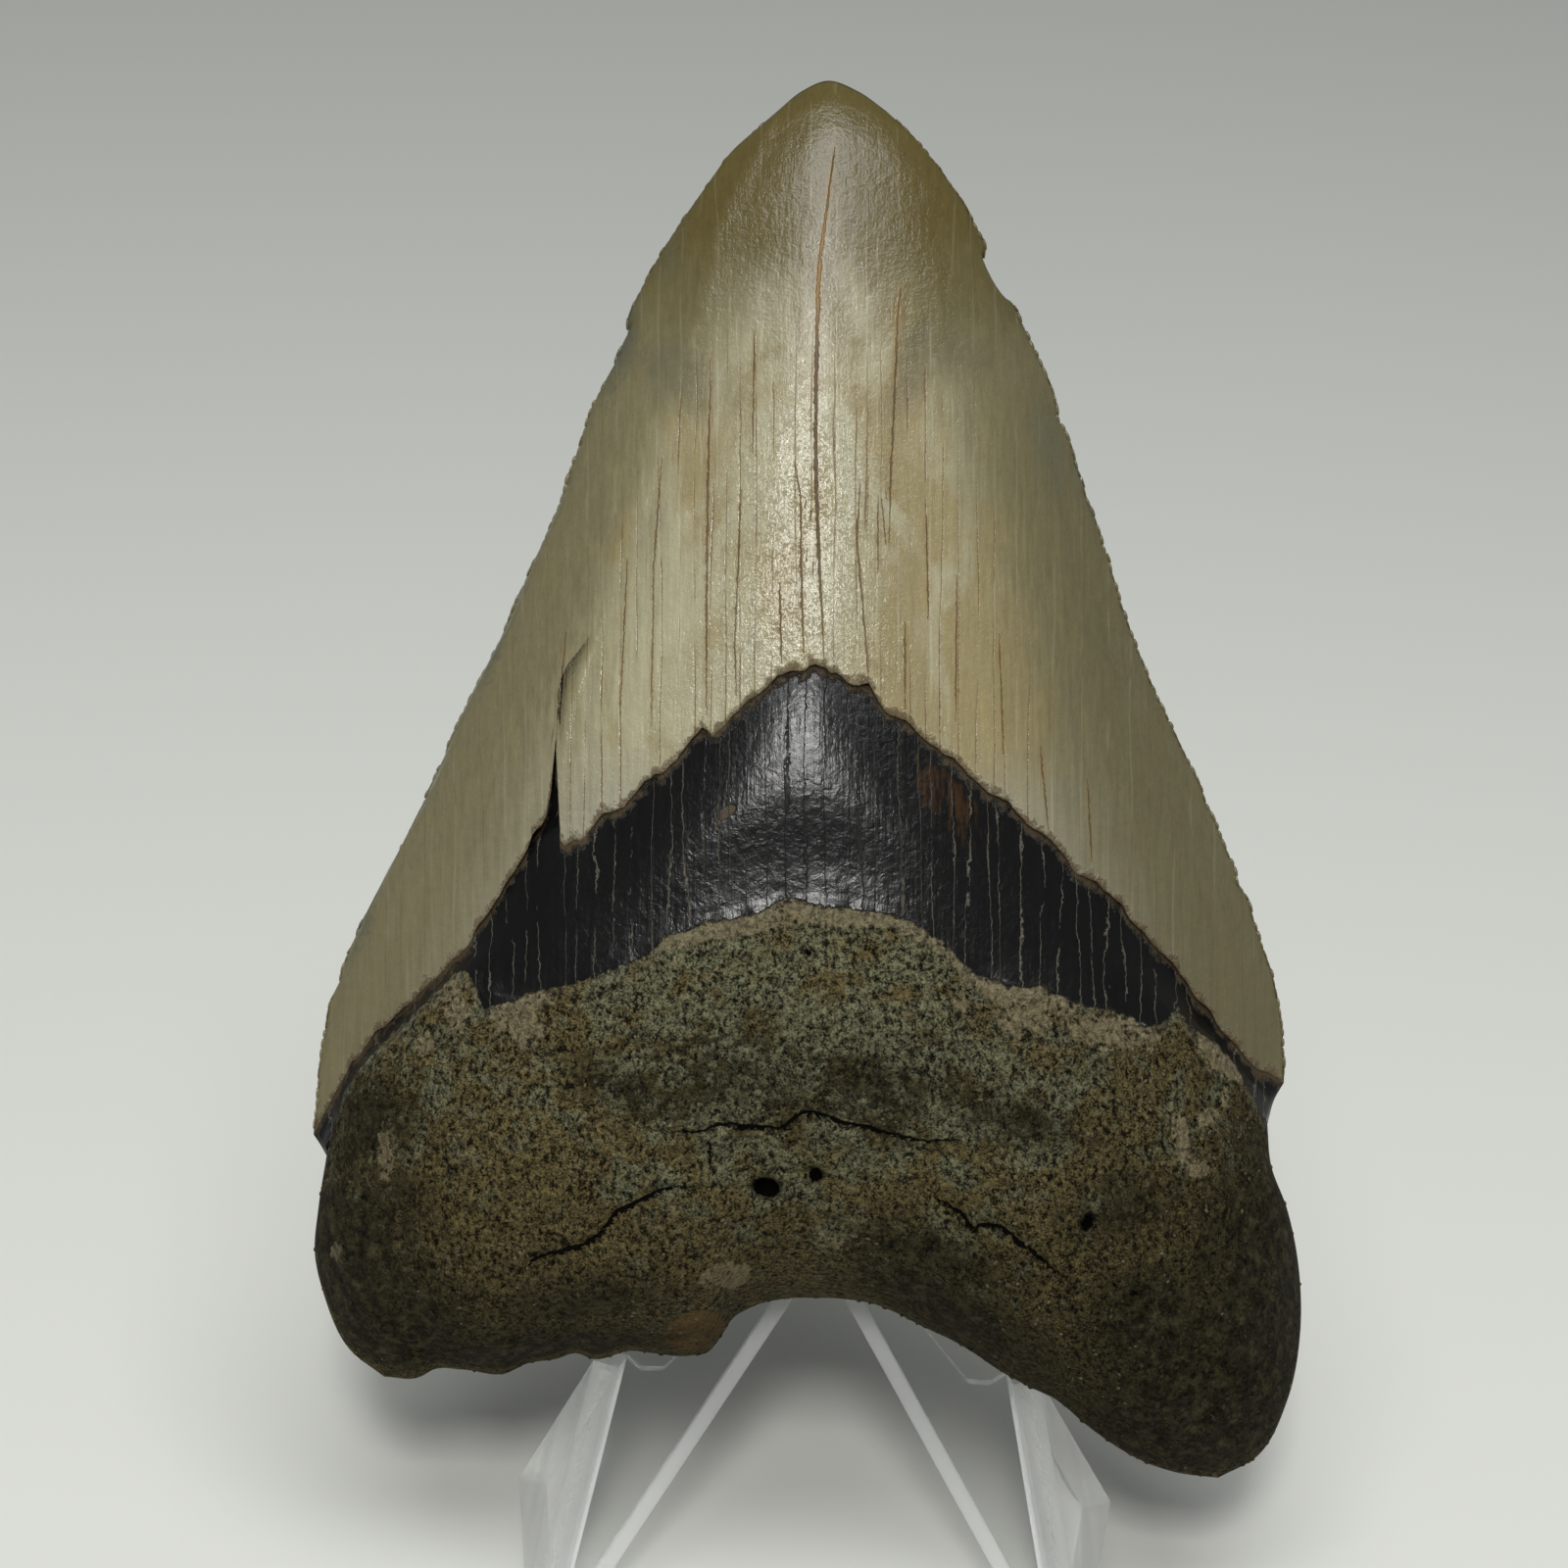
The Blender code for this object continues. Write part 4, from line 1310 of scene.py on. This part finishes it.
@dataclass
class Crown:
    """The enamel cap, closed underneath inside the body of the tooth, and its serrated edges."""

    form: ToothForm
    survey: Survey
    columns: int = 236
    rows: int = 176
    sway: float = 0.14
    sway_size: float = 13.0
    break_reach: float = 0.3
    lip: tuple[Point, ...] = ((-0.08, -0.16), (-0.06, -0.45), (0.5, -1.6))
    pitch: float = 0.85
    denticle: dict[str, float] = field(default_factory=lambda: {
        "Half length": 0.52, "Reach": 0.17, "Half thickness": 0.28,
    })
    spread: tuple[Triple, Triple] = ((0.7, 0.35, 0.6), (1.2, 1.15, 1.1))

    def _faces(self, side: Side) -> np.ndarray:
        """A face of the cap with its broken lip, as rows and columns of x, d and depth."""
        u = self.form.shares(self.columns)
        levels = np.linspace(0, 1, self.rows + 1) ** 0.9
        grid = self.form.grid(u, levels, side, self.form.ledge)
        out = np.abs(2 * u - 1)
        inner = 1 - out**10
        border = grid[-1].copy()
        if side is Side.FRONT:
            broken = (self.form.broken(border[:, 0]) - border[:, 1]) * ease(12 * (1 - out))
        else:
            broken = self.form.crumbs * lumps(border, 1.1, 3) * np.minimum(1, 8 * (1 - out))
        lower = int(np.searchsorted(levels, 1 - self.break_reach))
        length = (grid[lower, :, 1] - border[:, 1]) / (1 - levels[lower])
        moved = broken[None] * ease((levels - 1 + self.break_reach) / self.break_reach)[:, None]
        grid[..., 1] += moved
        true_level = np.clip(levels[:, None] - moved / np.maximum(length, 5.0)[None], 0, 1)
        grid[..., 2] = self.form.depth(u, true_level, side, self.form.ledge)
        grid[..., 2] += self.sway * lumps(grid, self.sway_size, 2) * inner * ease(levels * 6)[:, None]
        fade = np.minimum(1, 10 * (1 - out))
        rows = []
        for up, inward in self.lip:
            row = grid[-1].copy()
            row[:, 1] += up * fade
            row[:, 2] += side.value * inward * fade
            rows.append(row)
        return np.concatenate([grid, np.array(rows)])

    def build(self) -> tuple[bpy.types.Object, np.ndarray]:
        """Builds the cap.

        Returns:
            The cap, and the points of its two cutting edges in metres, one row each.
        """
        front, back = self._faces(Side.FRONT), self._faces(Side.BACK)
        cap = self.survey.body("enamel_crown", front, back, skin(front, back, False, True))
        edges = self.form.plane.tooth(np.stack([front[2:self.rows - 1, 0], front[2:self.rows - 1, -1]]))
        return cap, edges

    def serrations(self, edges: np.ndarray, finish: bpy.types.Material) -> bpy.types.Object:
        """Sets small rounded denticles along both cutting edges.

        Args:
            edges: Points of the two cutting edges in metres.
            finish: The enamel.

        Returns:
            The denticles as one piece.
        """
        mesh = bpy.data.meshes.new("cutting_edges")
        count = edges.shape[1]
        links = [(start + i, start + i + 1) for start in (0, count) for i in range(count - 1)]
        mesh.from_pydata([tuple(point) for point in edges.reshape(-1, 3)], links, [])
        path = linked("cutting_edges", mesh)
        tree = TreeBench("serrations")
        tree.ask_sizes({"Pitch": self.pitch, **self.denticle})
        tree.ask("Facing", "NodeSocketVector", tuple(self.form.plane.forward()))
        tree.ask_rest(7, finish)
        curve = tree.node("GeometryNodeMeshToCurve", None, {0: tree.given("Geometry")}).outputs[0]
        spaced = tree.node(
            "GeometryNodeResampleCurve", {"mode": "LENGTH"},
            {"Curve": curve, "Length": tree.given("Pitch")},
        )
        turned = tree.node(
            "FunctionNodeAxesToRotation", {"primary_axis": "Z", "secondary_axis": "X"},
            {0: tree.given("Facing"), 1: tree.node("GeometryNodeInputTangent").outputs[0]},
        )
        ball = tree.node("GeometryNodeMeshUVSphere", None, {"Segments": 8, "Rings": 5, "Radius": 1.0})
        placed = tree.strewn(
            spaced.outputs[0], turned.outputs[0], ball.outputs[0], tuple(self.denticle), self.spread,
        )
        return tree.apply(path, placed)

    def dress(self, cap: bpy.types.Object, finish: bpy.types.Material) -> None:
        """Gives the cap its enamel."""
        cap.data.materials.append(finish)


@dataclass
class Core:
    """The body under and below the enamel: the dark band and the lobed root."""

    form: ToothForm
    survey: Survey
    columns: int = 230
    band_rows: int = 46
    root_rows: int = 118
    relief: float = 0.55
    relief_size: float = 9.0
    back_relief: float = 0.3
    pocks: float = 0.36
    pock_size: float = 2.2
    lobe_crags: float = 0.9
    lobes_from: float = 24.0
    lobes_over: float = 10.0
    sand: float = 0.16
    sand_size: float = 0.75
    crack_wall: float = 0.22
    under_enamel: Point = (0.06, 0.12)
    grain: dict[str, float] = field(default_factory=lambda: {"Radius": 0.24, "Height": 0.15})
    spread: tuple[Triple, Triple] = ((0.4, 0.4, 0.5), (1.3, 1.3, 1.2))
    grains_a_square: float = 0.3
    bare_rim: float = 0.8

    def _faces(self, side: Side) -> np.ndarray:
        """A face of the body, as rows and columns of x, d and depth."""
        u = self.form.shares(self.columns)
        levels = np.concatenate([
            [0.88, 0.93, 0.96, 0.98, 0.99], np.linspace(1, 2, self.band_rows, endpoint=False),
            2 + np.sin(np.linspace(0, math.pi / 2, self.root_rows)),
        ])
        grid = self.form.grid(u, levels, side, 0.0)
        x, d = grid[..., 0], grid[..., 1]
        level, out = levels[:, None], np.abs(2 * u - 1)[None]
        inner = (1 - out**6) * (1 - np.maximum(level - 2, 0) ** 8)
        in_root = ease(level - self.form.rim_blend)
        place = np.stack([x, d, np.full_like(x, 40.0 * (side is Side.BACK))], axis=-1)
        strength = self.relief * (1.0 if side is Side.FRONT else self.back_relief)
        grid[..., 2] += strength * lumps(place, self.relief_size) * in_root * inner
        crags = 1 + self.lobe_crags * ease((np.abs(x - 0.5) - self.lobes_from) / self.lobes_over)
        rough = self.pocks * crags * lumps(place, self.pock_size, 3)
        rough += self.sand * lumps(place, self.sand_size, 2)
        off_rims = (1 - out**14) * (1 - np.maximum(level - 2, 0) ** 14)
        grid[..., 2] += side.value * rough * ease((level - 1.97) / 0.06) * off_rims
        hidden = ease((1 - level) / 0.05)
        grid[..., 0] *= 1 - self.under_enamel[0] * hidden
        grid[..., 2] *= 1 - self.under_enamel[1] * hidden
        if side is Side.FRONT:
            signed, half, depth = self.survey.nearest(x, d)
            groove = np.clip(1 - (np.abs(signed) - half) / self.crack_wall, 0, 1) * (half > 0)
            grid[..., 2] -= depth * groove * inner * ease((level - 1) / 0.05)
        return grid

    def build(self) -> bpy.types.Object:
        """Builds the body."""
        front, back = self._faces(Side.FRONT), self._faces(Side.BACK)
        return self.survey.body("band_and_root", front, back, skin(front, back, True, False))

    def scatter(self, body: bpy.types.Object, finish: bpy.types.Material) -> bpy.types.Object:
        """Scatters sand grains over the root.

        Args:
            body: The finished body.
            finish: The grains' material.

        Returns:
            The grains as one piece.
        """
        ground = linked("root_ground", body.data.copy())
        tree = TreeBench("root_sand_grains")
        tree.ask("Density", "NodeSocketFloat", self.grains_a_square / MM**2)
        tree.ask_sizes(self.grain)
        tree.ask_rest(11, finish)
        in_root = tree.compared("GREATER_THAN", tree.surveyed("zones"), self.bare_rim)
        off_cracks = tree.compared("LESS_THAN", tree.surveyed("cracks"), 0.2)
        bare = tree.node("FunctionNodeBooleanMath", {"operation": "AND"}, {0: in_root, 1: off_cracks})
        points = tree.node(
            "GeometryNodeDistributePointsOnFaces", {"distribute_method": "RANDOM"},
            {"Mesh": tree.given("Geometry"), "Selection": bare.outputs[0],
             "Density": tree.given("Density"), "Seed": tree.given("Seed")},
        )
        stone = tree.node("GeometryNodeMeshIcoSphere", None, {"Radius": 1.0, "Subdivisions": 1})
        placed = tree.strewn(
            points.outputs["Points"], points.outputs["Rotation"], stone.outputs[0],
            ("Radius", "Radius", "Height"), self.spread,
        )
        return tree.apply(ground, placed)

    def dress(self, body: bpy.types.Object, finish: DentineFinish) -> None:
        """Gives the body its glossy band, and its dull root from just below the border on."""
        body.data.materials.append(finish.make("glossy_band", 1.38))
        body.data.materials.append(finish.make("granular_root", 1.16))
        zones = np.empty(len(body.data.vertices) * 3)
        body.data.attributes["zones"].data.foreach_get("vector", zones)
        below_root = zones[2::3]
        for face in body.data.polygons:
            face.material_index = int(all(below_root[i] > self.bare_rim for i in face.vertices))


@dataclass
class EaselStand:
    """One clear sheet, folded over a ridge to the rear leg, with two flaps turned forward."""

    plane: LeaningPlane
    sheet: float = 2.4
    rounding: float = 0.7
    crotch: Point = (0.0, 31.8)
    leg_foot: Point = (21.3, -3.4)
    flap_foot: Point = (22.3, -3.4)
    flap_corner: Point = (39.2, 18.3)
    flap_top: Point = (16.6, 22.2)
    notch: tuple[Point, ...] = ((15.3, 21.2), (13.3, 21.3))
    mast_start: Point = (7.0, 28.4)
    fold_foot: Point = (21.2, 0.0)
    flap_angle: float = math.radians(80)
    flap_radius: float = 1.6
    edge_band: float = 1.3
    mast_half_width: float = 7.0
    ridge: float = 60.0
    ridge_radius: float = 3.0
    ridge_angle: float = math.radians(120)
    rear_foot_half_width: float = 8.5
    rear_foot_extra: float = 4.0
    bend_steps: int = 12
    cut_gap: float = 0.0001
    still_flat: float = 0.001

    def _blank(self) -> bmesh.types.BMesh:
        """The sheet as it is cut, before it is folded: one flat face."""
        down = self.ridge + self.ridge_radius * self.ridge_angle + self.ridge + self.rear_foot_extra
        half = [
            self.crotch, self.leg_foot, self.flap_foot, self.flap_corner, self.flap_top, *self.notch,
            self.mast_start, (self.mast_half_width, self.ridge), (self.rear_foot_half_width, down),
        ]
        outline = half + [(-x, d) for x, d in reversed(half[1:])]
        bm = bmesh.new()
        verts = [bm.verts.new((x, d, 0.0)) for x, d in outline]
        edges = [bm.edges.new(pair) for pair in zip(verts, verts[1:] + verts[:1])]
        bmesh.ops.edgeloop_fill(bm, edges=edges)
        crotch = Vector((*self.crotch, 0.0))
        way = (Vector((*self.leg_foot, 0.0)) - crotch).normalized()
        for side in (1, -1):
            inward = Vector((-side * way.y, way.x, 0.0))
            start = crotch + inward * self.edge_band
            for place, across in ((start, inward), (crotch, Vector((0.0, 1.0, 0.0)))):
                bmesh.ops.bisect_plane(
                    bm, geom=[*bm.verts, *bm.edges, *bm.faces], plane_co=place, plane_no=across,
                    dist=self.cut_gap,
                )
        for face in bm.faces:
            offset = face.calc_center_median() - crotch
            near = -offset.y * way.x + abs(offset.x) * way.y
            if offset.y < 0 and abs(near) < self.edge_band:
                face.material_index = SheetFace.HAZY.value
        return bm

    def _fold(self, bm: bmesh.types.BMesh, start: Point, direction: Point, angle: float,
              radius: float) -> None:
        """Bends what lies to the left of a line of the flat sheet round an arc.

        Args:
            bm: The sheet.
            start: A point of the line.
            direction: The line's direction.
            angle: How far it bends, to the front where positive.
            radius: The arc's radius.
        """
        way = Vector((*direction, 0.0)).normalized()
        outward = Vector((-way.y, way.x, 0.0))
        origin = Vector((*start, 0.0))
        up = Vector((0.0, 0.0, math.copysign(1.0, angle)))
        angle = abs(angle)
        for step in range(self.bend_steps + 1):
            cut = origin + outward * radius * angle * step / self.bend_steps
            flat = [face for face in bm.faces if all(abs(vert.co.z) < self.still_flat for vert in face.verts)]
            parts = {item for face in flat for item in (face, *face.edges, *face.verts)}
            bmesh.ops.bisect_plane(bm, geom=list(parts), plane_co=cut, plane_no=outward, dist=self.cut_gap)
        for face in bm.faces:
            middle = face.calc_center_median()
            if abs(middle.z) < self.still_flat and 0 < (middle - origin).dot(outward) < radius * angle:
                face.material_index = SheetFace.FOLD.value
        for vert in bm.verts:
            past = (vert.co - origin).dot(outward)
            if past <= self.still_flat or abs(vert.co.z) > self.still_flat:
                continue
            turned = min(past / radius, angle)
            beyond = past - turned * radius
            level = radius * math.sin(turned) + beyond * math.cos(turned)
            rise = radius * (1 - math.cos(turned)) + beyond * math.sin(turned)
            vert.co = vert.co - outward * past + outward * level + up * rise

    def build(self) -> bpy.types.Object:
        """Builds the folded sheet with its thickness and its rounded edges."""
        bm = self._blank()
        line = Vector(self.flap_top) - Vector(self.fold_foot)
        self._fold(bm, (0.0, self.ridge), (1.0, 0.0), -self.ridge_angle, self.ridge_radius)
        self._fold(bm, self.fold_foot, -line, self.flap_angle, self.flap_radius)
        mirrored = (-self.fold_foot[0], self.fold_foot[1])
        self._fold(bm, mirrored, (-line.x, line.y), self.flap_angle, self.flap_radius)
        for vert in bm.verts:
            vert.co = self.plane.world(np.array(vert.co))
        bmesh.ops.recalc_face_normals(bm, faces=bm.faces)
        mesh = bpy.data.meshes.new("clear_easel")
        bm.to_mesh(mesh)
        bm.free()
        stand = linked("clear_easel", mesh)
        thick = stand.modifiers.new("sheet", "SOLIDIFY")
        thick.thickness = self.sheet * MM
        thick.offset = 0.0
        thick.use_even_offset = True
        edges = stand.modifiers.new("polished_edges", "BEVEL")
        edges.width = self.rounding * MM
        edges.segments = 3
        edges.material = SheetFace.CUT.value
        edges.limit_method = "ANGLE"
        edges.angle_limit = math.radians(50)
        return stand

    def dress(self, stand: bpy.types.Object, finish: AcrylicFinish) -> bpy.types.Object:
        """Gives the sheet its clear faces and frosted edges, and cuts its feet flat."""
        for face in SheetFace:
            stand.data.materials.append(finish.make(face))
        mesh = evaluated_mesh(stand)
        bm = bmesh.new()
        bm.from_mesh(mesh)
        geometry = [*bm.verts, *bm.edges, *bm.faces]
        below = bmesh.ops.bisect_plane(
            bm, geom=geometry, plane_co=(0, 0, 0), plane_no=(0, 0, -1), clear_outer=True,
        )
        rims = [item for item in below["geom_cut"] if isinstance(item, bmesh.types.BMEdge)]
        bmesh.ops.holes_fill(bm, edges=rims)
        write_back(bm, mesh, stand.name)
        stand.modifiers.clear()
        stand.data = mesh
        return stand


@dataclass
class Studio:
    """A pale glossy floor under large soft lights."""

    plane: LeaningPlane
    size: float = 6.0
    # near and far are the floor's colour in front and 0.42 m back; the darker far colour is painted shade for
    # the light falling off.
    near: Colour = paint(226, 227, 221)
    far: Colour = paint(212, 214, 208)
    room: Colour = (0.9, 0.93, 0.93)
    room_strength: float = 0.16
    target: Triple = (0.0, 0.0, 0.06)
    distance: float = 0.95

    def floor(self) -> bpy.types.Object:
        """Lays the floor just under the feet."""
        half = self.size / 2
        corners = np.array([(-half, -half, 0), (half, -half, 0), (half, half, 0), (-half, half, 0)])
        mesh = bpy.data.meshes.new("floor")
        mesh.from_pydata([tuple(corner) for corner in corners], [], [(0, 1, 2, 3)])
        floor = linked("floor", mesh)
        bench = SurfaceBench("pale_floor")
        place = bench.place()
        _, y, _ = bench.parts(place)
        cloudy = bench.grain(place, 5.0, 2.0)
        # Painted shade: the floor darkens from the near colour to the far one towards the back, where the
        # light falls off.
        colour = bench.mix((y + cloudy * 0.08).rise(0.0, 0.42), self.near, self.far)
        floor.data.materials.append(bench.finish(colour, 0.3, None, IOR=1.4))
        return floor

    def light(self, name: str, place: Point, size: Point, power: float,
              tint: Colour) -> bpy.types.Object:
        """Hangs a soft light.

        Args:
            name: The light's name.
            place: Azimuth from the front, to the right, and elevation, in degrees.
            size: Its width and height in metres.
            power: Its power in watts.
            tint: Its colour.

        Returns:
            The light.
        """
        azimuth, elevation = (math.radians(angle) for angle in place)
        level = math.cos(elevation)
        toward = Vector((math.sin(azimuth) * level, -math.cos(azimuth) * level, math.sin(elevation)))
        data = bpy.data.lights.new(name, "AREA")
        data.shape = "RECTANGLE"
        data.size, data.size_y = size
        data.energy = power
        data.color = tint
        light = linked(name, data)
        light.matrix_world = Matrix.Translation(Vector(self.target) + toward * self.distance) @ (
            toward.to_track_quat("Z", "Y").to_matrix().to_4x4())
        return light

    def build(self) -> None:
        """Sets up the floor, the lights, the surroundings and the camera."""
        self.floor()
        self.light("key", (-3.0, 51.0), (0.17, 0.2), 4.3, (1.0, 0.99, 0.97))
        self.light("overhead", (6.0, 77.0), (0.8, 0.36), 5.5, (0.98, 0.99, 1.0))
        world = bpy.data.worlds.new("room")
        world.use_nodes = True
        shade = world.node_tree.nodes["Background"]
        shade.inputs["Color"].default_value = (*self.room, 1.0)
        shade.inputs["Strength"].default_value = self.room_strength
        bpy.context.scene.world = world
        bpy.context.scene.view_settings.view_transform = "Standard"
        self.plane.camera()


CROWN_CRACKS = (
    Crack(((2.5, 128.0), (1.9, 123.0), (1.2, 118.0), (1.0, 114.7), (0.8, 105.9), (0.8, 100.0),
           (1.1, 91.5), (1.4, 86.3), (1.5, 83.0)), 0.42),
    Crack(((-1.1, 101.0), (-0.5, 97.4), (-0.4, 89.3), (-0.2, 83.4)), 0.2),
    Crack(((-2.3, 90.4), (-2.1, 82.8)), 0.16),
    Crack(((-8.2, 110.2), (-8.2, 106.3), (-8.4, 97.8), (-8.5, 89.7), (-8.5, 77.8)), 0.22),
    Crack(((-5.5, 98.9), (-6.1, 85.1), (-5.9, 79.3)), 0.15),
    Crack(((-12.2, 102.1), (-13.0, 91.4), (-13.2, 76.6)), 0.14),
    Crack(((8.2, 116.4), (7.8, 113.0), (7.6, 108.1), (7.3, 101.5), (7.2, 100.0), (7.0, 92.5)), 0.22),
    Crack(((4.6, 99.3), (4.3, 93.6), (4.8, 88.2), (5.3, 81.7)), 0.2),
    Crack(((6.1, 97.8), (6.1, 90.6)), 0.14),
    Crack(((8.4, 87.2), (8.4, 78.8)), 0.15),
    Crack(((12.8, 91.4), (12.8, 87.8), (12.7, 78.0)), 0.16),
    Crack(((19.9, 76.3), (20.6, 68.8)), 0.16),
    Crack(((23.9, 73.8), (24.3, 66.0)), 0.14),
    Crack(((-15.2, 93.0), (-15.9, 78.0)), 0.14),
    Crack(((-21.1, 74.0), (-20.9, 81.3), (-20.4, 86.3)), 0.16),
    Crack(((16.4, 86.3), (16.8, 74.7)), 0.14),
    Crack(((-4.4, 112.2), (-4.6, 100.5)), 0.14),
    Crack(((10.2, 96.3), (10.4, 86.3)), 0.14),
)
ROOT_CRACKS = (
    Crack(((-12.3, 43.4), (-8.5, 43.5), (-7.7, 44.1), (-3.8, 43.8), (-2.3, 43.6), (-1.5, 44.2),
           (-0.6, 45.0), (0.4, 45.1), (1.8, 44.7), (3.4, 44.1), (5.2, 43.8), (6.8, 43.3),
           (8.9, 42.9), (10.2, 42.6), (13.8, 42.9)), 0.36, 0.35),
    Crack(((-24.7, 31.5), (-23.8, 32.0), (-23.2, 32.7), (-21.7, 33.1), (-18.9, 33.8), (-17.4, 34.8),
           (-16.2, 36.6), (-14.4, 37.4), (-12.3, 38.5), (-10.2, 38.8), (-8.9, 38.8)), 0.38, 0.4),
    Crack(((10.4, 38.2), (11.8, 37.3), (13.2, 36.5), (14.1, 35.0), (14.9, 35.5), (16.4, 35.4),
           (17.9, 34.2), (19.8, 32.8), (21.1, 31.6), (22.5, 30.8)), 0.38, 0.4),
    Crack(((-8.2, 42.7), (-8.2, 40.3)), 0.22, 0.1),
    Crack(((-3.75, 38.78),), 1.5, 2.2),
    Crack(((-3.1, 38.65),), 1.55, 2.2),
    Crack(((0.8, 39.8),), 1.15, 1.5),
    Crack(((23.75, 35.5),), 0.9, 1.5),
    Crack(((24.05, 36.0),), 0.95, 1.5),
    Crack(((-1.3, 42.6),), 0.5, 0.5),
    Crack(((27.9, 29.6),), 0.6, 0.6),
    Crack(((26.1, 30.4),), 0.5, 0.5),
    Crack(((0.2, 58.6),), 0.6, 0.5),
    Crack(((-27.7, 54.9), (-27.4, 57.5)), 0.3, 0.1),
)
CROWN_CLOUDS = (
    Blot(12.8, 109.2, 6.5, 5.0, 30, 0.9), Blot(-11.8, 108.6, 8.0, 3.6, -28, 0.9),
    Blot(21.0, 102.0, 3.0, 5.0, 15, 0.8), Blot(-11.5, 117.5, 3.0, 4.0, 0, 0.7),
)
CROWN_FACETS = (
    Blot(-15.9, 110.0, 1.6, 8.0, -16, 1.0), Blot(-26.5, 84.0, 1.2, 6.0, -24, 0.8),
    Blot(-38.0, 61.0, 1.6, 6.0, -22, 1.0), Blot(18.8, 113.5, 1.4, 4.0, 25, 1.0),
    Blot(23.5, 99.0, 1.2, 6.0, 18, 0.8),
)
ROOT_CRUST = (
    Blot(-29.7, 53.7, 1.8, 3.2, 10), Blot(-23.9, 52.4, 3.3, 3.3), Blot(18.7, 53.3, 4.6, 3.0),
    Blot(25.5, 51.5, 6.5, 1.8, -10, 0.9), Blot(35.0, 49.5, 2.8, 1.6, -40, 0.9),
    Blot(-32.5, 51.0, 2.5, 1.6, 40, 0.8), Blot(-35.7, 41.8, 1.1, 3.9, 0), Blot(-40.0, 33.3, 0.8, 1.2),
    Blot(31.9, 42.8, 1.0, 3.2, 8, 1.6), Blot(34.1, 44.6, 1.6, 1.0, 30, 1.5),
    Blot(33.4, 40.3, 1.4, 1.2, 0, 1.5), Blot(-6.8, 70.6, 1.5, 0.7, 35, 2.0),
    Blot(35.6, 46.3, 0.6, 1.6), Blot(-6.8, 31.2, 2.9, 1.4, 8, 2.0), Blot(2.1, 34.0, 3.0, 1.5, 0, 0.7),
    Blot(13.5, 54.0, 2.5, 1.6, -45, 0.8),
    Blot(-30.0, 33.0, 2.2, 1.2, 30, 0.5), Blot(-3.0, 61.0, 12.0, 1.0, 5, 0.7),
    Blot(-12.0, 36.0, 5.0, 1.6, 25, 0.35), Blot(18.0, 37.5, 4.0, 1.4, -30, 0.35),
)
ROOT_BURNT = (
    Blot(-39.6, 29.8, 9.0, 14.0), Blot(40.0, 28.8, 8.5, 17.0), Blot(34.9, 18.7, 12.0, 7.5),
    Blot(17.6, 44.4, 6.0, 2.2, -12, 0.6), Blot(-37.0, 44.0, 5.0, 5.0, 0, 0.7),
    Blot(-15.0, 47.0, 5.0, 2.2, -20, 0.45), Blot(27.0, 37.0, 5.0, 3.0, 20, 0.6),
    Blot(10.0, 33.0, 7.0, 2.4, -18, 0.55), Blot(30.0, 27.0, 6.0, 6.0, 0, 0.8),
    Blot(-33.0, 27.0, 6.0, 4.5, 0, 0.8), Blot(-19.0, 29.0, 7.0, 2.0, 8, 0.45),
    Blot(-24.0, 24.6, 16.0, 2.6, 2, 0.9), Blot(6.0, 47.0, 8.0, 4.0, 0, 0.45),
    Blot(12.0, 28.5, 12.0, 3.0, -32, 0.7), Blot(-6.0, 48.0, 8.0, 4.0, 0, 0.35),
)
BAND_WARM = (Blot(12.0, 71.6, 5.6, 2.2, -50, 1.2), Blot(-9.3, 26.2, 3.4, 2.0, 12, 1.4))


def settle(piece: bpy.types.Object, node: str) -> None:
    """Ties a finished piece to the model.

    Args:
        piece: The piece.
        node: The solid that it stands for.
    """
    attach(piece, "root")
    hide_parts(node)
    LOG.info("settled %s for %s", piece.name, node)


def main() -> None:
    """Builds the tooth, the stand and the studio in order."""
    logging.basicConfig(level=logging.INFO, format="%(message)s")
    form = ToothForm()
    enamel = EnamelFinish().make()
    nothing = (Blot(0.0, 0.0, 0.01, 0.01, 0.0, 0.0),)
    crown = Crown(form, Survey(form, CROWN_CRACKS, (CROWN_CLOUDS, CROWN_FACETS, nothing)))
    cap, edges = crown.build()
    crown.dress(cap, enamel)
    settle(cap, "tooth")
    denticles = crown.serrations(edges, enamel)
    crown.survey.mark(denticles)
    settle(denticles, "tooth")
    core = Core(form, Survey(form, ROOT_CRACKS, (ROOT_CRUST, ROOT_BURNT, BAND_WARM)))
    body = core.build()
    core.dress(body, DentineFinish())
    settle(body, "tooth")
    sand = core.scatter(body, GrainFinish().make())
    core.survey.mark(sand)
    settle(sand, "tooth")
    easel = EaselStand(form.plane)
    stand = easel.dress(easel.build(), AcrylicFinish())
    settle(stand, "easel_stand")
    Studio(form.plane).build()


if __name__ == "__main__":
    main()
